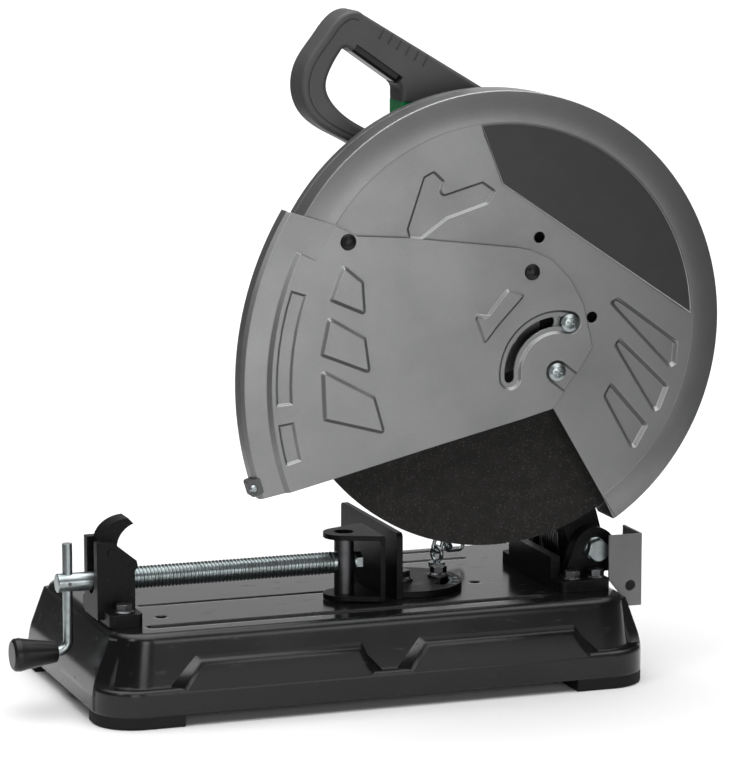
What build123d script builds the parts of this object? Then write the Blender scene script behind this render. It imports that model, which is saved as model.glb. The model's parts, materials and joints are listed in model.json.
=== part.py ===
# Metal cut-off saw with a 355 mm abrasive wheel, built as separate pieces in one frame.
# X runs from the crank to the hinge, Y from the wheel side to the motor side, Z is up, the floor is Z 0.
# Pieces are drawn from the middle of the base, and moved at the end to the middle of the whole saw.
from build123d import *
import os
from math import sin, cos, radians, hypot

os.makedirs("parts", exist_ok=True)

# Base pan
BASE_L = 463.0
BASE_W = 256.0
BASE_R = 34.0
WALL_END_IN = 5.5
WALL_SIDE_IN = 4.5
TOP_END_IN = 15.0
TOP_SIDE_IN = 10.0
PANEL_IN = 1.5
GROOVE_IN = 26.0
WALL_L = BASE_L - 2 * WALL_END_IN
WALL_W = BASE_W - 2 * WALL_SIDE_IN
TOP_L = BASE_L - 2 * TOP_END_IN
TOP_W = BASE_W - 2 * TOP_SIDE_IN
SHEET = 2.0
SKIRT_Z0 = 10.0
SKIRT_Z1 = 31.0
PANEL_Z = 50.6
PANEL_Y = BASE_W / 2 - PANEL_IN
TABLE_Z = 73.2
GROOVE_Y = GROOVE_IN - TOP_W / 2
GUSSET_W = 68.0
GUSSET_LOW = 27.0
GUSSET_HIGH = 58.0

# Hinge
HX = 205.0
HZ = 103.0
HINGE_BOLT_R = 6.0
RUN_FIT = 0.06
CHEEK_NEAR = (-66.0, -54.0)
CHEEK_FAR = (16.0, 28.0)
BOSS_R = 18.0
SIDE_GAP = 0.4
SPARK_PAN_GAP = 6.5
SPARK_BOSS_GAP = 15.0
SPARK_X = max(BASE_L / 2 + SPARK_PAN_GAP, HX + BOSS_R + SPARK_BOSS_GAP)
LUG_Z = HZ - 11.5

# Wheel and guards
WX = 104.0
WY = -92.0
WZ = 296.8
WHEEL_R = 177.5
WHEEL_T = 3.2
WHEEL_BORE_R = 12.7
GUARD_GAP = 12.5
GUARD_R = WHEEL_R + GUARD_GAP
GUARD_FACE_Y = -110.0
GUARD_BAND = 24.6
GUARD_FACE_R = GUARD_R - GUARD_BAND
FACE_DRAWN_R = 165.4
GUARD_SEAM_Y = -81.0
GUARD_BACK_Y = -72.0
GUARD_T = 2.0

# Swinging cover, its pivot is given from the wheel centre
PIVOT_DX = 46.0
PIVOT_DZ = -35.7
COVER_LIFT = 6.0
COVER_Y = GUARD_FACE_Y - COVER_LIFT
COVER_T = 2.0
COVER_GAP = 14.8
STEP_IN = 20.0
COVER_R = GUARD_R + hypot(PIVOT_DX, PIVOT_DZ) + COVER_GAP
COVER_STEP_R = COVER_R - STEP_IN
COVER_RIM_Y = -94.0
SLOT_R = 40.6
SLOT_A0 = 75.0
SLOT_A1 = 184.0

# Gear train and motor
GEAR_R = 44.0
PINION_R = 11.0
MX = 98.0
MZ = WZ + (((GEAR_R + PINION_R) ** 2 - (MX - WX) ** 2) ** 0.5)
MOTOR_R = 52.0
MOTOR_WALL = 4.0
CASE_Y0 = -72.0
CASE_Y1 = -20.0
COVER_PLATE_Y1 = -8.0
MOTOR_Y1 = 95.0
CAP_Y1 = 120.0

# Handle
GRIP_Y = -35.0
GRIP_HALF = 16.0
NECK_Z = 475.0
NECK_X = 42.0
GX = 132.0
GZ = 438.0

# Vise
VISE_Y = -45.0
VISE_Z = 103.3
SCREW_R = 9.0
SCREW_PITCH = 3.0
POST_X = -6.0
POST_R = 8.0
JAW_X = POST_X + 22.0
JAW_T = 4.0
FENCE_X = 32.0
FENCE_T = 5.0
FENCE_Y = (-66.0, 72.0)
FENCE_TOP = 128.0
FENCE_Z = TABLE_Z + 0.2
FENCE_PIVOT = (53.0, -20.0)
FENCE_SLOT_R = 34.0
BRACKET_IN = 13.5
BR_X0 = BRACKET_IN - BASE_L / 2
BR_X1 = BR_X0 + 31.0
CRANK_X = BR_X0 - 19.0
KNOB_X0 = CRANK_X - 46.0
MIDDLE_X = (KNOB_X0 + WX + GUARD_R) / 2


# Small builders
def poly(*points):
    return make_face(Polyline(*points, close=True))


def prism(face, y0, y1):
    """Push a face drawn in X and Z from y0 to y1."""
    plane = Plane(origin=(0, y1, 0), x_dir=(1, 0, 0), z_dir=(0, -1, 0))
    return extrude(plane * face, y1 - y0)


def box(x0, x1, y0, y1, z0, z1):
    return Pos((x0 + x1) / 2, (y0 + y1) / 2, (z0 + z1) / 2) * Box(x1 - x0, y1 - y0, z1 - z0)


def xcyl(y, z, r, x0, x1):
    return Pos((x0 + x1) / 2, y, z) * Rot(0, 90, 0) * Cylinder(r, x1 - x0)


def ycyl(x, z, r, y0, y1):
    return Pos(x, (y0 + y1) / 2, z) * Rot(90, 0, 0) * Cylinder(r, y1 - y0)


def zcyl(x, y, r, z0, z1):
    return Pos(x, y, (z0 + z1) / 2) * Cylinder(r, z1 - z0)


def hex_z(x, y, flats, z0, z1):
    return extrude(Pos(x, y, z0) * RegularPolygon(flats / 2, 6, major_radius=False), z1 - z0)


def hex_y(x, z, flats, y0, y1):
    return prism(Pos(x, z) * RegularPolygon(flats / 2, 6, major_radius=False), y0, y1)


def hex_x(y, z, flats, x0, x1):
    shape = extrude(RegularPolygon(flats / 2, 6, major_radius=False), x1 - x0)
    return Pos(x0, y, z) * Rot(0, 90, 0) * shape


def turned_y(points, x, z):
    """Turn a profile of (radius, y) points about a line along Y."""
    solid = revolve(Plane.XZ * poly(*points), Axis.Z)
    return Pos(x, 0, z) * Rot(-90, 0, 0) * solid


def turned_x(points, y, z):
    """Turn a profile of (radius, x) points about a line along X."""
    solid = revolve(Plane.XZ * poly(*points), Axis.Z)
    return Pos(0, y, z) * Rot(0, 90, 0) * solid


def ring_y(x, z, r_out, r_in, y0, y1):
    return ycyl(x, z, r_out, y0, y1) - ycyl(x, z, r_in, y0 - 1, y1 + 1)


def slot_z(x0, x1, y, w, z0, z1):
    return extrude(Pos((x0 + x1) / 2, y, z0) * SlotOverall(x1 - x0, w), z1 - z0)


def hull(*circles):
    """Face round circles given as (x, z, radius)."""
    edges = []
    for x, z, r in circles:
        edges = edges + (Pos(x, z) * Circle(r)).edges()
    return make_hull(edges)


def from_wheel(points):
    """Points on the guard face, drawn from the wheel centre, that follow the size of the face."""
    scale = GUARD_FACE_R / FACE_DRAWN_R
    return [(WX + x * scale, WZ + z * scale) for x, z in points]


def about(origin, points):
    """Points drawn from an origin of their own."""
    return [(origin[0] + x, origin[1] + z) for x, z in points]


def polar(x, z, r, deg):
    return (x + r * cos(radians(deg)), z + r * sin(radians(deg)))


def bolt_z(x, y, r, flats, z_seat, z_low):
    """Flanged hex bolt from above with its nut below the sheet."""
    head = hex_z(x, y, flats, z_seat + 1.8, z_seat + 1.8 + r * 1.3)
    flange = zcyl(x, y, flats * 0.66, z_seat, z_seat + 1.8)
    nut = hex_z(x, y, flats, z_low - r * 1.6, z_low)
    return head + flange + zcyl(x, y, r, z_low - r * 1.9, z_seat + 1) + nut


NODES = {}


def keep(name, shape):
    """Take a solid, or a list of separate solids, as one named node."""
    solids = []
    for item in (shape if isinstance(shape, list) else [shape]):
        solids = solids + [Pos(-MIDDLE_X, 0, 0) * solid for solid in item.solids()]
    NODES[name] = solids[0] if len(solids) == 1 else Compound(children=solids)


# Base pan
PANELS = ((-166.0, -151.0, -21.0, -10.0), (22.0, 35.0, 161.0, 176.0))


def pan_shape(inset, top, round_top):
    """Closed outer form of the pan, or its hollow when inset by the sheet."""
    skirt_top = SKIRT_Z1 - inset
    plan = RectangleRounded(BASE_L - 2 * inset, BASE_W - 2 * inset, BASE_R - inset)
    skirt = extrude(Pos(0, 0, SKIRT_Z0) * plan, skirt_top - SKIRT_Z0)
    skirt = fillet(skirt.faces().sort_by(Axis.Z)[-1].edges(), 3.6)
    low = RectangleRounded(WALL_L - 2 * inset, WALL_W - 2 * inset, BASE_R - inset)
    high = RectangleRounded(TOP_L - 2 * inset, TOP_W - 2 * inset, BASE_R - 4 - inset)
    wall = loft([Pos(0, 0, SKIRT_Z0) * low, Pos(0, 0, top) * high])
    wall = fillet(wall.faces().sort_by(Axis.Z)[-1].edges(), round_top)
    body = skirt + wall
    for a, b, c, d in PANELS:
        face = poly((a + inset, SKIRT_Z0), (a + inset, SKIRT_Z1 - 3), (b + inset, PANEL_Z - inset),
                    (c - inset, PANEL_Z - inset), (d - inset, SKIRT_Z1 - 3), (d - inset, SKIRT_Z0))
        panel = prism(face, -PANEL_Y + inset, PANEL_Y - inset)
        ends = panel.faces().filter_by(Axis.Y).edges().filter_by(lambda e: e.center().Z > SKIRT_Z0 + 1)
        body = body + fillet(ends, 3.0)
    for side in (-1, 1):
        foot_face = Rectangle(2 * (GUSSET_W - inset), 2 * (GUSSET_LOW - SKIRT_Z0 - inset))
        root_face = Rectangle(2 * (GUSSET_W + 20 - inset), 2 * (GUSSET_HIGH - SKIRT_Z0 - inset))
        sections = []
        for x, face in ((BASE_L / 2 - 1.5 - inset, foot_face), (WALL_L / 2 - 12.0 - inset, root_face)):
            sections.append(Plane(origin=(side * x, 0, SKIRT_Z0), x_dir=(0, 1, 0), z_dir=(1, 0, 0)) * face)
        body = body + (loft(sections) & box(-300, 300, -200, 200, SKIRT_Z0, 100))
    return body


GROOVES = ((-186.0, 152.0, GROOVE_Y, 11.0, 3.0), (-172.0, 12.0, -18.0, 6.0, 1.6),
           (-172.0, 150.0, TOP_W / 2 - 18.0, 7.0, 1.6), (56.0, 142.0, 66.0, 7.0, 1.6))
pan = pan_shape(0, TABLE_Z, 7.0)
hollow = pan_shape(SHEET, TABLE_Z - SHEET, 5.0)
for x0, x1, y, w, depth in GROOVES:
    pan = pan - slot_z(x0, x1, y, w, TABLE_Z - depth, TABLE_Z + 1)
    hollow = hollow - slot_z(x0 - SHEET, x1 + SHEET, y, w + 2 * SHEET, TABLE_Z - SHEET - depth, TABLE_Z)
pan = pan - hollow
BENCH_HOLES = ((-165.0, -61.0), (115.0, -25.0))
BENCH_HOLE_R = 4.5
BRACKET_BOLTS = ((BR_X0 + 18.0, VISE_Y - 31.5), (BR_X0 + 18.0, VISE_Y + 31.5))
HINGE_BOLTS = ((180.0, -77.0), (201.0, -77.0), (180.0, 36.0), (201.0, 36.0))
FENCE_BOLTS = (FENCE_PIVOT, (FENCE_PIVOT[0] + FENCE_SLOT_R * cos(radians(8)),
                             FENCE_PIVOT[1] + FENCE_SLOT_R * sin(radians(8))))
BOLT_R = 4.0
BOLT_HOLE_R = 4.2
EYE = (110.0, 51.0)
for x, y in BENCH_HOLES:
    pan = pan - zcyl(x, y, BENCH_HOLE_R, TABLE_Z - 6, TABLE_Z + 1)
for x, y in BRACKET_BOLTS + HINGE_BOLTS + FENCE_BOLTS + (EYE,):
    pan = pan - zcyl(x, y, BOLT_HOLE_R, TABLE_Z - 8, TABLE_Z + 1)
keep("base_pan", pan)

# Rubber feet
FOOT_X = 66.0
FOOT_Y = 44.0
feet = []
pad = extrude(RectangleRounded(BASE_L, BASE_W, BASE_R), SKIRT_Z0)
pad = fillet(pad.faces().sort_by(Axis.Z)[0].edges(), 2.0)
plug = extrude(Pos(0, 0, SKIRT_Z0 - 1) * RectangleRounded(BASE_L - 2 * SHEET - 0.6, BASE_W - 2 * SHEET - 0.6,
                                                         BASE_R - SHEET), 13.0)
for sx in (-1, 1):
    for sy in (-1, 1):
        xs = sorted((sx * (BASE_L / 2 + 1), sx * (BASE_L / 2 - FOOT_X)))
        ys = sorted((sy * (BASE_W / 2 + 1), sy * (BASE_W / 2 - FOOT_Y)))
        corner = box(xs[0], xs[1], ys[0], ys[1], -1, 40)
        feet.append((pad + plug) & corner)
keep("rubber_feet", feet)

# Vise bracket
BR_FOOT_Z = TABLE_Z + 10.0
SLOT_HALF = 10.0
CHEEK_T = 9.0
NUT_PIN = (BR_X0 + 12.0, VISE_Z + 24.7)
NUT_PIN_R = 3.0
cheek = poly((BR_X0, TABLE_Z + 2), (BR_X1, TABLE_Z + 2), (BR_X1, VISE_Z + 9.7), (BR_X1 + 2.5, VISE_Z + 12.7),
             (BR_X1 + 1.5, VISE_Z + 17.7), (BR_X0 + 13.0, VISE_Z + 33.7), (BR_X0, VISE_Z + 33.7))
body = prism(cheek, VISE_Y - SLOT_HALF - CHEEK_T, VISE_Y + SLOT_HALF + CHEEK_T)
body = body - box(BR_X0 - 1, BR_X1 + 7, VISE_Y - SLOT_HALF, VISE_Y + SLOT_HALF, VISE_Z, VISE_Z + 47.0)
body = body - xcyl(VISE_Y, VISE_Z, SLOT_HALF, BR_X0 - 1, BR_X1 + 7)
foot = box(BR_X0 + 4.0, BR_X1, VISE_Y - 42.0, VISE_Y + 42.0, TABLE_Z, BR_FOOT_Z)
foot = fillet(foot.edges().filter_by(Axis.Z), 4.0)
body = body + (foot - xcyl(VISE_Y, VISE_Z, SLOT_HALF, BR_X0 - 1, BR_X1 + 7))
body = body - ycyl(NUT_PIN[0], NUT_PIN[1], NUT_PIN_R, -90.0, 0.0)
for x, y in BRACKET_BOLTS:
    body = body - zcyl(x, y, BOLT_HOLE_R, TABLE_Z - 1, BR_FOOT_Z + 1)
keep("vise_bracket", body)
keep("bracket_bolts", [bolt_z(x, y, BOLT_R, 12.0, BR_FOOT_Z, TABLE_Z - SHEET) for x, y in BRACKET_BOLTS])
PIN_HALF = SLOT_HALF + CHEEK_T + 1.0
pin = ycyl(NUT_PIN[0], NUT_PIN[1], NUT_PIN_R, VISE_Y - PIN_HALF, VISE_Y + PIN_HALF)
keep("nut_pin", pin)

# Half-nut with its release horn
back = about(NUT_PIN, ((-7.0, 6.0), (-3.0, 17.0), (6.0, 23.5), (16.5, 25.8)))
front = about(NUT_PIN, ((21.0, 21.0), (12.5, 15.5), (8.0, 8.0), (7.5, 0.0)))
block = about(NUT_PIN, ((7.5, 0.0), (16.0, -6.0), (16.0, -20.5), (0.0, -20.5), (0.0, -10.0), (-7.0, -6.0),
                        (-7.0, 6.0)))
horn = make_face(Spline(*back) + Line(back[-1], front[0]) + Spline(*front) + Polyline(*block))
nut = prism(horn, VISE_Y - SLOT_HALF + 0.6, VISE_Y + SLOT_HALF - 0.6)
nut = nut - xcyl(VISE_Y, VISE_Z, SCREW_R + 0.3, BR_X0 - 12.0, BR_X1 + 17.0)
nut = nut - ycyl(NUT_PIN[0], NUT_PIN[1], NUT_PIN_R + RUN_FIT, -90.0, 0.0)
keep("half_nut", nut)

# Vise screw, crank and knob
CRANK_R = 4.0
KNOB_Z = 48.0
SCREW_X0 = BR_X0 + 6.0
POST_FLAT = POST_R - 1.0
END_PLAY = 0.15
SCREW_X1 = POST_X - POST_FLAT - END_PLAY
RETAINER_X = POST_X + POST_FLAT + END_PLAY
SPIGOT_R = 4.0
screw = xcyl(VISE_Y, VISE_Z, SCREW_R, SCREW_X0, SCREW_X1)
screw = chamfer(screw.faces().sort_by(Axis.X)[-1].edges(), 1.0)
screw = screw + xcyl(VISE_Y, VISE_Z, 7.5, CRANK_X - 9.0, SCREW_X0)
screw = screw + xcyl(VISE_Y, VISE_Z, SPIGOT_R, SCREW_X1, RETAINER_X)
screw = screw - zcyl(CRANK_X, VISE_Y, CRANK_R, VISE_Z - 20, VISE_Z + 20)
screw = screw - ycyl(CRANK_X, VISE_Z, 1.5, VISE_Y - 20, VISE_Y + 20)
keep("vise_screw", screw)
retainer = hex_x(VISE_Y, VISE_Z, 13.0, RETAINER_X + 1.5, RETAINER_X + 7.0)
retainer = retainer + xcyl(VISE_Y, VISE_Z, 8.5, RETAINER_X, RETAINER_X + 1.5)
keep("screw_retainer", retainer)
bend = 9.0
rod = zcyl(CRANK_X, VISE_Y, CRANK_R, KNOB_Z + bend, VISE_Z + 31.5)
elbow = revolve(Plane(origin=(CRANK_X, VISE_Y, KNOB_Z + bend)) * Circle(CRANK_R),
                Axis((CRANK_X - bend, VISE_Y, KNOB_Z + bend), (0, 1, 0)), 90)
ROD_X0 = KNOB_X0 + 11.0
rod = rod + elbow + xcyl(VISE_Y, KNOB_Z, CRANK_R, ROD_X0, CRANK_X - bend)
rod = rod - ycyl(CRANK_X, VISE_Z, 1.5, VISE_Y - 20, VISE_Y + 20)
keep("crank_rod", rod)
keep("crank_pin", ycyl(CRANK_X, VISE_Z, 1.5, VISE_Y - 7.6, VISE_Y + 7.6))
knob = turned_x(((0, KNOB_X0), (11.0, KNOB_X0), (13.0, KNOB_X0 + 2), (13.4, KNOB_X0 + 6),
                 (12.4, KNOB_X0 + 11), (8.4, KNOB_X0 + 35.5), (7.4, KNOB_X0 + 36.5),
                 (0, KNOB_X0 + 36.5)), VISE_Y, KNOB_Z)
knob = knob - xcyl(VISE_Y, KNOB_Z, CRANK_R + RUN_FIT, ROD_X0 - 1.0, KNOB_X0 + 43.0)
keep("crank_knob", knob)

# Swivel post and bent jaw
JAW_Z0 = TABLE_Z + 1.0
JAW_Z1 = TABLE_Z + 55.0
JAW_HALF = 27.0
post = zcyl(POST_X, VISE_Y, POST_R, JAW_Z0, JAW_Z1 - 3.2)
post = post - xcyl(VISE_Y, VISE_Z, SPIGOT_R + RUN_FIT, POST_X - 20.0, POST_X + 20.0)
for x0, x1 in ((POST_X - 12, POST_X - POST_FLAT), (POST_X + POST_FLAT, POST_X + 12)):
    post = post - box(x0, x1, VISE_Y - 10, VISE_Y + 10, VISE_Z - 10, VISE_Z + 10)
keep("vise_post", post)
tongue = hull((POST_X, VISE_Y, 17.0), (JAW_X - 1, VISE_Y - JAW_HALF + 2, 2.0),
              (JAW_X - 1, VISE_Y + JAW_HALF - 2, 2.0))
jaw = box(JAW_X, JAW_X + JAW_T, VISE_Y - JAW_HALF, VISE_Y + JAW_HALF, JAW_Z0, JAW_Z1)
for z in (JAW_Z0, JAW_Z1 - JAW_T):
    leaf = extrude(Pos(0, 0, z) * tongue, JAW_T)
    jaw = jaw + (leaf & box(POST_X - 30.0, JAW_X + 1, -120.0, 40.0, 0, 200.0))
jaw = fillet(jaw.edges().filter_by(Axis.Y).filter_by(lambda e: e.center().X > JAW_X + 3), 2.5)
jaw = jaw - zcyl(POST_X, VISE_Y, POST_R + RUN_FIT, JAW_Z0 - 1, JAW_Z1 + 1)
keep("vise_jaw", jaw)

# Fence with its quadrant foot
disc_c = (FENCE_X + 24.0, -18.0)
disc_r = 47.0
plate = box(FENCE_X, FENCE_X + FENCE_T, FENCE_Y[0], FENCE_Y[1], FENCE_Z, FENCE_TOP)
plate = fillet(plate.edges().filter_by(Axis.X).filter_by(lambda e: e.center().Z > FENCE_TOP - 1), 4.0)
quad = zcyl(disc_c[0], disc_c[1], disc_r, FENCE_Z, FENCE_Z + FENCE_T)
quad = quad & box(FENCE_X, 200.0, -120.0, 120.0, 0, 200.0)
fence = plate + quad
corner = fence.edges().filter_by(Axis.Y).filter_by(
    lambda e: abs(e.center().X - FENCE_X - FENCE_T) < 0.1 and abs(e.center().Z - FENCE_Z - FENCE_T) < 0.1)
fence = fillet(corner, 3.0)
fence = fence - zcyl(FENCE_PIVOT[0], FENCE_PIVOT[1], BOLT_R + RUN_FIT, TABLE_Z - 1, TABLE_Z + 9)
arc = CenterArc((FENCE_PIVOT[0], FENCE_PIVOT[1]), FENCE_SLOT_R, -41, 52)
fence = fence - extrude(Pos(0, 0, TABLE_Z - 1) * SlotArc(arc, 2 * BOLT_R + 0.8), 10)
keep("fence", fence)
WASHER_Z = FENCE_Z + FENCE_T + 0.15
bolts = []
for x, y in FENCE_BOLTS:
    washer = zcyl(x, y, 9.0, WASHER_Z, WASHER_Z + 1.7)
    bolts.append(bolt_z(x, y, BOLT_R, 12.0, WASHER_Z + 1.6, TABLE_Z - SHEET) + washer)
keep("fence_bolts", bolts)

# Hinge bracket
BR_TOP = TABLE_Z + 9.0
base = box(166.0, 210.0, -88.0, 46.0, TABLE_Z, BR_TOP)
base = fillet(base.edges().filter_by(Axis.Z), 5.0)
side = make_hull((Pos(HX, HZ) * Circle(BOSS_R)).edges() + poly((178.0, TABLE_Z + 3), (209.0, TABLE_Z + 3),
                                                              (209.0, BR_TOP), (178.0, BR_TOP)).edges())
bracket = base + prism(side, *CHEEK_NEAR) + prism(side, *CHEEK_FAR)
bracket = bracket + box(166.0, 174.0, CHEEK_NEAR[0], CHEEK_FAR[1], TABLE_Z + 3, 99.0)
lug = box(HX + 1.0, SPARK_X, CHEEK_NEAR[0], CHEEK_NEAR[1], LUG_Z - 7.5, LUG_Z + 7.5)
bracket = bracket + lug
bracket = bracket - ycyl(HX, HZ, HINGE_BOLT_R, -90.0, 60.0)
for x, y in HINGE_BOLTS:
    bracket = bracket - zcyl(x, y, BOLT_HOLE_R, TABLE_Z - 1, BR_TOP + 1)
LUG_Y = (CHEEK_NEAR[0] + CHEEK_NEAR[1]) / 2
bracket = bracket - xcyl(LUG_Y, LUG_Z, 2.5, SPARK_X - 12.0, SPARK_X + SHEET)
keep("hinge_bracket", bracket)
keep("hinge_bracket_bolts", [bolt_z(x, y, BOLT_R, 12.0, BR_TOP, TABLE_Z - SHEET) for x, y in HINGE_BOLTS])
bolt = ycyl(HX, HZ, HINGE_BOLT_R, CHEEK_NEAR[0] - 2, CHEEK_FAR[1] + 12)
bolt = bolt + hex_y(HX, HZ, 17.0, CHEEK_NEAR[0] - 9.5, CHEEK_NEAR[0] - 1.8)
bolt = bolt + ycyl(HX, HZ, 10.0, CHEEK_NEAR[0] - 1.8, CHEEK_NEAR[0])
keep("hinge_bolt", bolt)
nut = hex_y(HX, HZ, 19.0, CHEEK_FAR[1], CHEEK_FAR[1] + 10.0) - ycyl(HX, HZ, HINGE_BOLT_R, 20.0, 50.0)
keep("hinge_nut", nut)

# Spark plate
NEAR_FLANGE_Y = -83.0
SPARK_Z = (HZ - 46.0, HZ + 14.0)
plan = poly((SPARK_X - 27.5, SPARK_Z[1]), (SPARK_X + SHEET, SPARK_Z[1]), (SPARK_X + SHEET, SPARK_Z[0]),
            (SPARK_X - 9.0, SPARK_Z[0]), (SPARK_X - 27.5, SPARK_Z[0] + 23.0))
flange = prism(plan, NEAR_FLANGE_Y, NEAR_FLANGE_Y + SHEET)
flange = flange - ycyl(SPARK_X - 8.5, SPARK_Z[0] + 17.0, 4.5, -90.0, -70.0)
spark = flange + box(SPARK_X, SPARK_X + SHEET, NEAR_FLANGE_Y, -46.0, *SPARK_Z)
spark = fillet(spark.edges().filter_by(Axis.Z).filter_by(
    lambda e: e.center().X > SPARK_X + 1.9 and e.center().Y < NEAR_FLANGE_Y + 0.1), 1.8)
spark = spark - xcyl(LUG_Y, LUG_Z, 2.5, SPARK_X - 8.0, SPARK_X + 7.0)
keep("spark_guard", spark)
screw = xcyl(LUG_Y, LUG_Z, 2.5, SPARK_X - 11.0, SPARK_X + SHEET + 1)
screw = screw + xcyl(LUG_Y, LUG_Z, 5.0, SPARK_X + SHEET, SPARK_X + SHEET + 3.4)
keep("spark_guard_screw", screw)

# Torsion return spring round the hinge barrel
SPRING_R = 18.0
SPRING_WIRE_R = 1.7
SPRING_TURNS = 7
SPRING_Y = (-28.0, 7.0)
spring_pitch = (SPRING_Y[1] - SPRING_Y[0]) / SPRING_TURNS
helix = Helix(spring_pitch, SPRING_Y[1] - SPRING_Y[0], SPRING_R, lefthand=True)
coil = Pos(HX, SPRING_Y[1], HZ) * Rot(90, 0, 0) * Rot(0, 0, 180) * helix
leg_a = Line(coil @ 0 - (coil % 0) * 18.0, coil @ 0)
leg_b = Line(coil @ 1, coil @ 1 + (coil % 1) * 26.0)
path = Wire([leg_a, coil.edge(), leg_b])
spring = sweep(Plane(path @ 0, z_dir=path % 0) * Circle(SPRING_WIRE_R), path)
keep("return_spring", spring)
least = spring_pitch - 2 * SPRING_WIRE_R
print("return_spring least gap between turns", round(least, 2), "mm")

# Chain and its eye
WIRE_R = 1.6
HEADING = 20.0
eye = zcyl(EYE[0], EYE[1], 3.0, TABLE_Z - 8, TABLE_Z + 4) + zcyl(EYE[0], EYE[1], 7.0, TABLE_Z, TABLE_Z + 2)
eye = eye + Pos(EYE[0], EYE[1], TABLE_Z + 9.0) * Rot(0, 0, HEADING) * Rot(0, 90, 0) * Torus(6.0, 1.8)
eye = eye + hex_z(EYE[0], EYE[1], 10.0, TABLE_Z - SHEET - 5, TABLE_Z - SHEET)
keep("chain_eye", eye)
LINK_L = 22.0
LINK_W = 12.0


def link():
    loop = SlotOverall(LINK_L - 2 * WIRE_R, LINK_W - 2 * WIRE_R).wire()
    return sweep(Plane(loop @ 0, z_dir=loop % 0) * Circle(WIRE_R), loop)


links = []
heading = HEADING
end = Vector(EYE[0], EYE[1], TABLE_Z + 14.0)
previous = None
for pitch_deg, roll in ((66.0, 0), (-52.0, 90), (-4.0, 10)):
    level = cos(radians(pitch_deg))
    way = Vector(level * cos(radians(heading)), level * sin(radians(heading)), sin(radians(pitch_deg)))
    outward = way if previous is None else (way + previous).normalized()
    start = end - outward * (2 * WIRE_R + 0.7)
    centre = start + way * (LINK_L / 2 - WIRE_R)
    links.append(Pos(*centre) * Rot(0, 0, heading) * Rot(0, -pitch_deg, 0) * Rot(90 + roll, 0, 0) * link())
    end = centre + way * (LINK_L / 2 - WIRE_R)
    previous = way
keep("lock_chain", links)

# Arm and gear case casting
GEAR_ROOM = 50.0
PINION_ROOM = 20.0
case = prism(hull((WX, WZ, GEAR_ROOM + 6), (MX, MZ, 36.0)), CASE_Y0 + 8, CASE_Y1)
case = case + ycyl(WX, WZ, 46.0, CASE_Y0, CASE_Y0 + 9)
gear_room = prism(hull((WX, WZ, GEAR_ROOM), (MX, MZ, PINION_ROOM)), CASE_Y0 + 16, CASE_Y1 + 1)
case = case - gear_room
web = poly((HX - 15.0, HZ - 4.0), (HX + 15.0, HZ - 2.0),
           *about((WX, WZ), ((92.0, -106.8), (56.0, 13.2), (4.0, -46.8), (46.0, -86.8))))
arm = prism(web, -52.0, -32.0) - gear_room
arm = arm + ycyl(HX, HZ, 17.0, CHEEK_NEAR[1] + SIDE_GAP, -31.0)
arm = arm + ycyl(HX, HZ, 13.0, -32.0, CHEEK_FAR[0] - SIDE_GAP)
arm = arm + ycyl(HX, HZ, 17.0, 11.0, CHEEK_FAR[0] - SIDE_GAP)
arm = arm + box(HX - 15.9, HX - 8.0, -34.0, -25.0, HZ + 18.5, HZ + 28.0)
arm = arm - ycyl(HX, HZ, HINGE_BOLT_R + RUN_FIT, -60.0, 30.0)
high = about((WX, WZ), ((68.0, -91.8), (82.0, -106.8), (61.0, -34.8), (42.0, -56.8)))
low = about((WX, WZ), ((83.0, -112.8), (66.0, -104.8))) + about((HX, HZ), ((-8.0, 27.0), (-5.0, 47.0)))
for pts in (high, low):
    pocket = fillet(poly(*pts).vertices(), 3.0)
    arm = arm - prism(pocket, -60.0, -47.0) - prism(pocket, -37.0, -25.0)
arm = arm + case
SPINDLE_R = 8.5
BEARING_R = 17.5
arm = arm - ycyl(WX, WZ, BEARING_R, CASE_Y0 + 5, CASE_Y0 + 20)
arm = arm - ycyl(WX, WZ, SPINDLE_R + 2, CASE_Y0 - 5, CASE_Y0 + 20)
LOCK_Y = -42.0
LOCK_R = 5.0
lock_x0 = WX + GEAR_R + 3.0
arm = arm + xcyl(LOCK_Y, WZ, 9.0, WX + GEAR_ROOM + 1, WX + GEAR_ROOM + 14)
arm = arm - xcyl(LOCK_Y, WZ, LOCK_R + RUN_FIT, WX + GEAR_R, WX + 100)
GUARD_SCREWS = [polar(0, 0, 38.0, a) for a in (45, 135, 225, 315)]
for x, z in GUARD_SCREWS:
    arm = arm - ycyl(WX + x, WZ + z, 2.5, CASE_Y0 - 1, CASE_Y0 + 12)
keep("arm_casting", arm)
lock = xcyl(LOCK_Y, WZ, LOCK_R, lock_x0, WX + GEAR_ROOM + 20)
lock = lock + xcyl(LOCK_Y, WZ, 8.0, WX + GEAR_ROOM + 17.5, WX + GEAR_ROOM + 23)
keep("spindle_lock", lock)

# Gear cover between the gear case and the motor
ARM_BEARING_R = 14.0
SHAFT_R = 6.0
cover = prism(hull((WX, WZ, GEAR_ROOM + 6), (MX, MZ, 36.0)), CASE_Y1, COVER_PLATE_Y1)
cover = cover + ycyl(MX, MZ, MOTOR_R, CASE_Y1 + 4, COVER_PLATE_Y1)
cover = cover - ycyl(WX, WZ, BEARING_R, CASE_Y1 - 1, CASE_Y1 + 9)
cover = cover - ycyl(MX, MZ, ARM_BEARING_R, CASE_Y1 + 3, COVER_PLATE_Y1 + 1)
cover = cover - ycyl(MX, MZ, SHAFT_R + 2, CASE_Y1 - 1, COVER_PLATE_Y1 + 1)
keep("gear_cover", cover)

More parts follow.
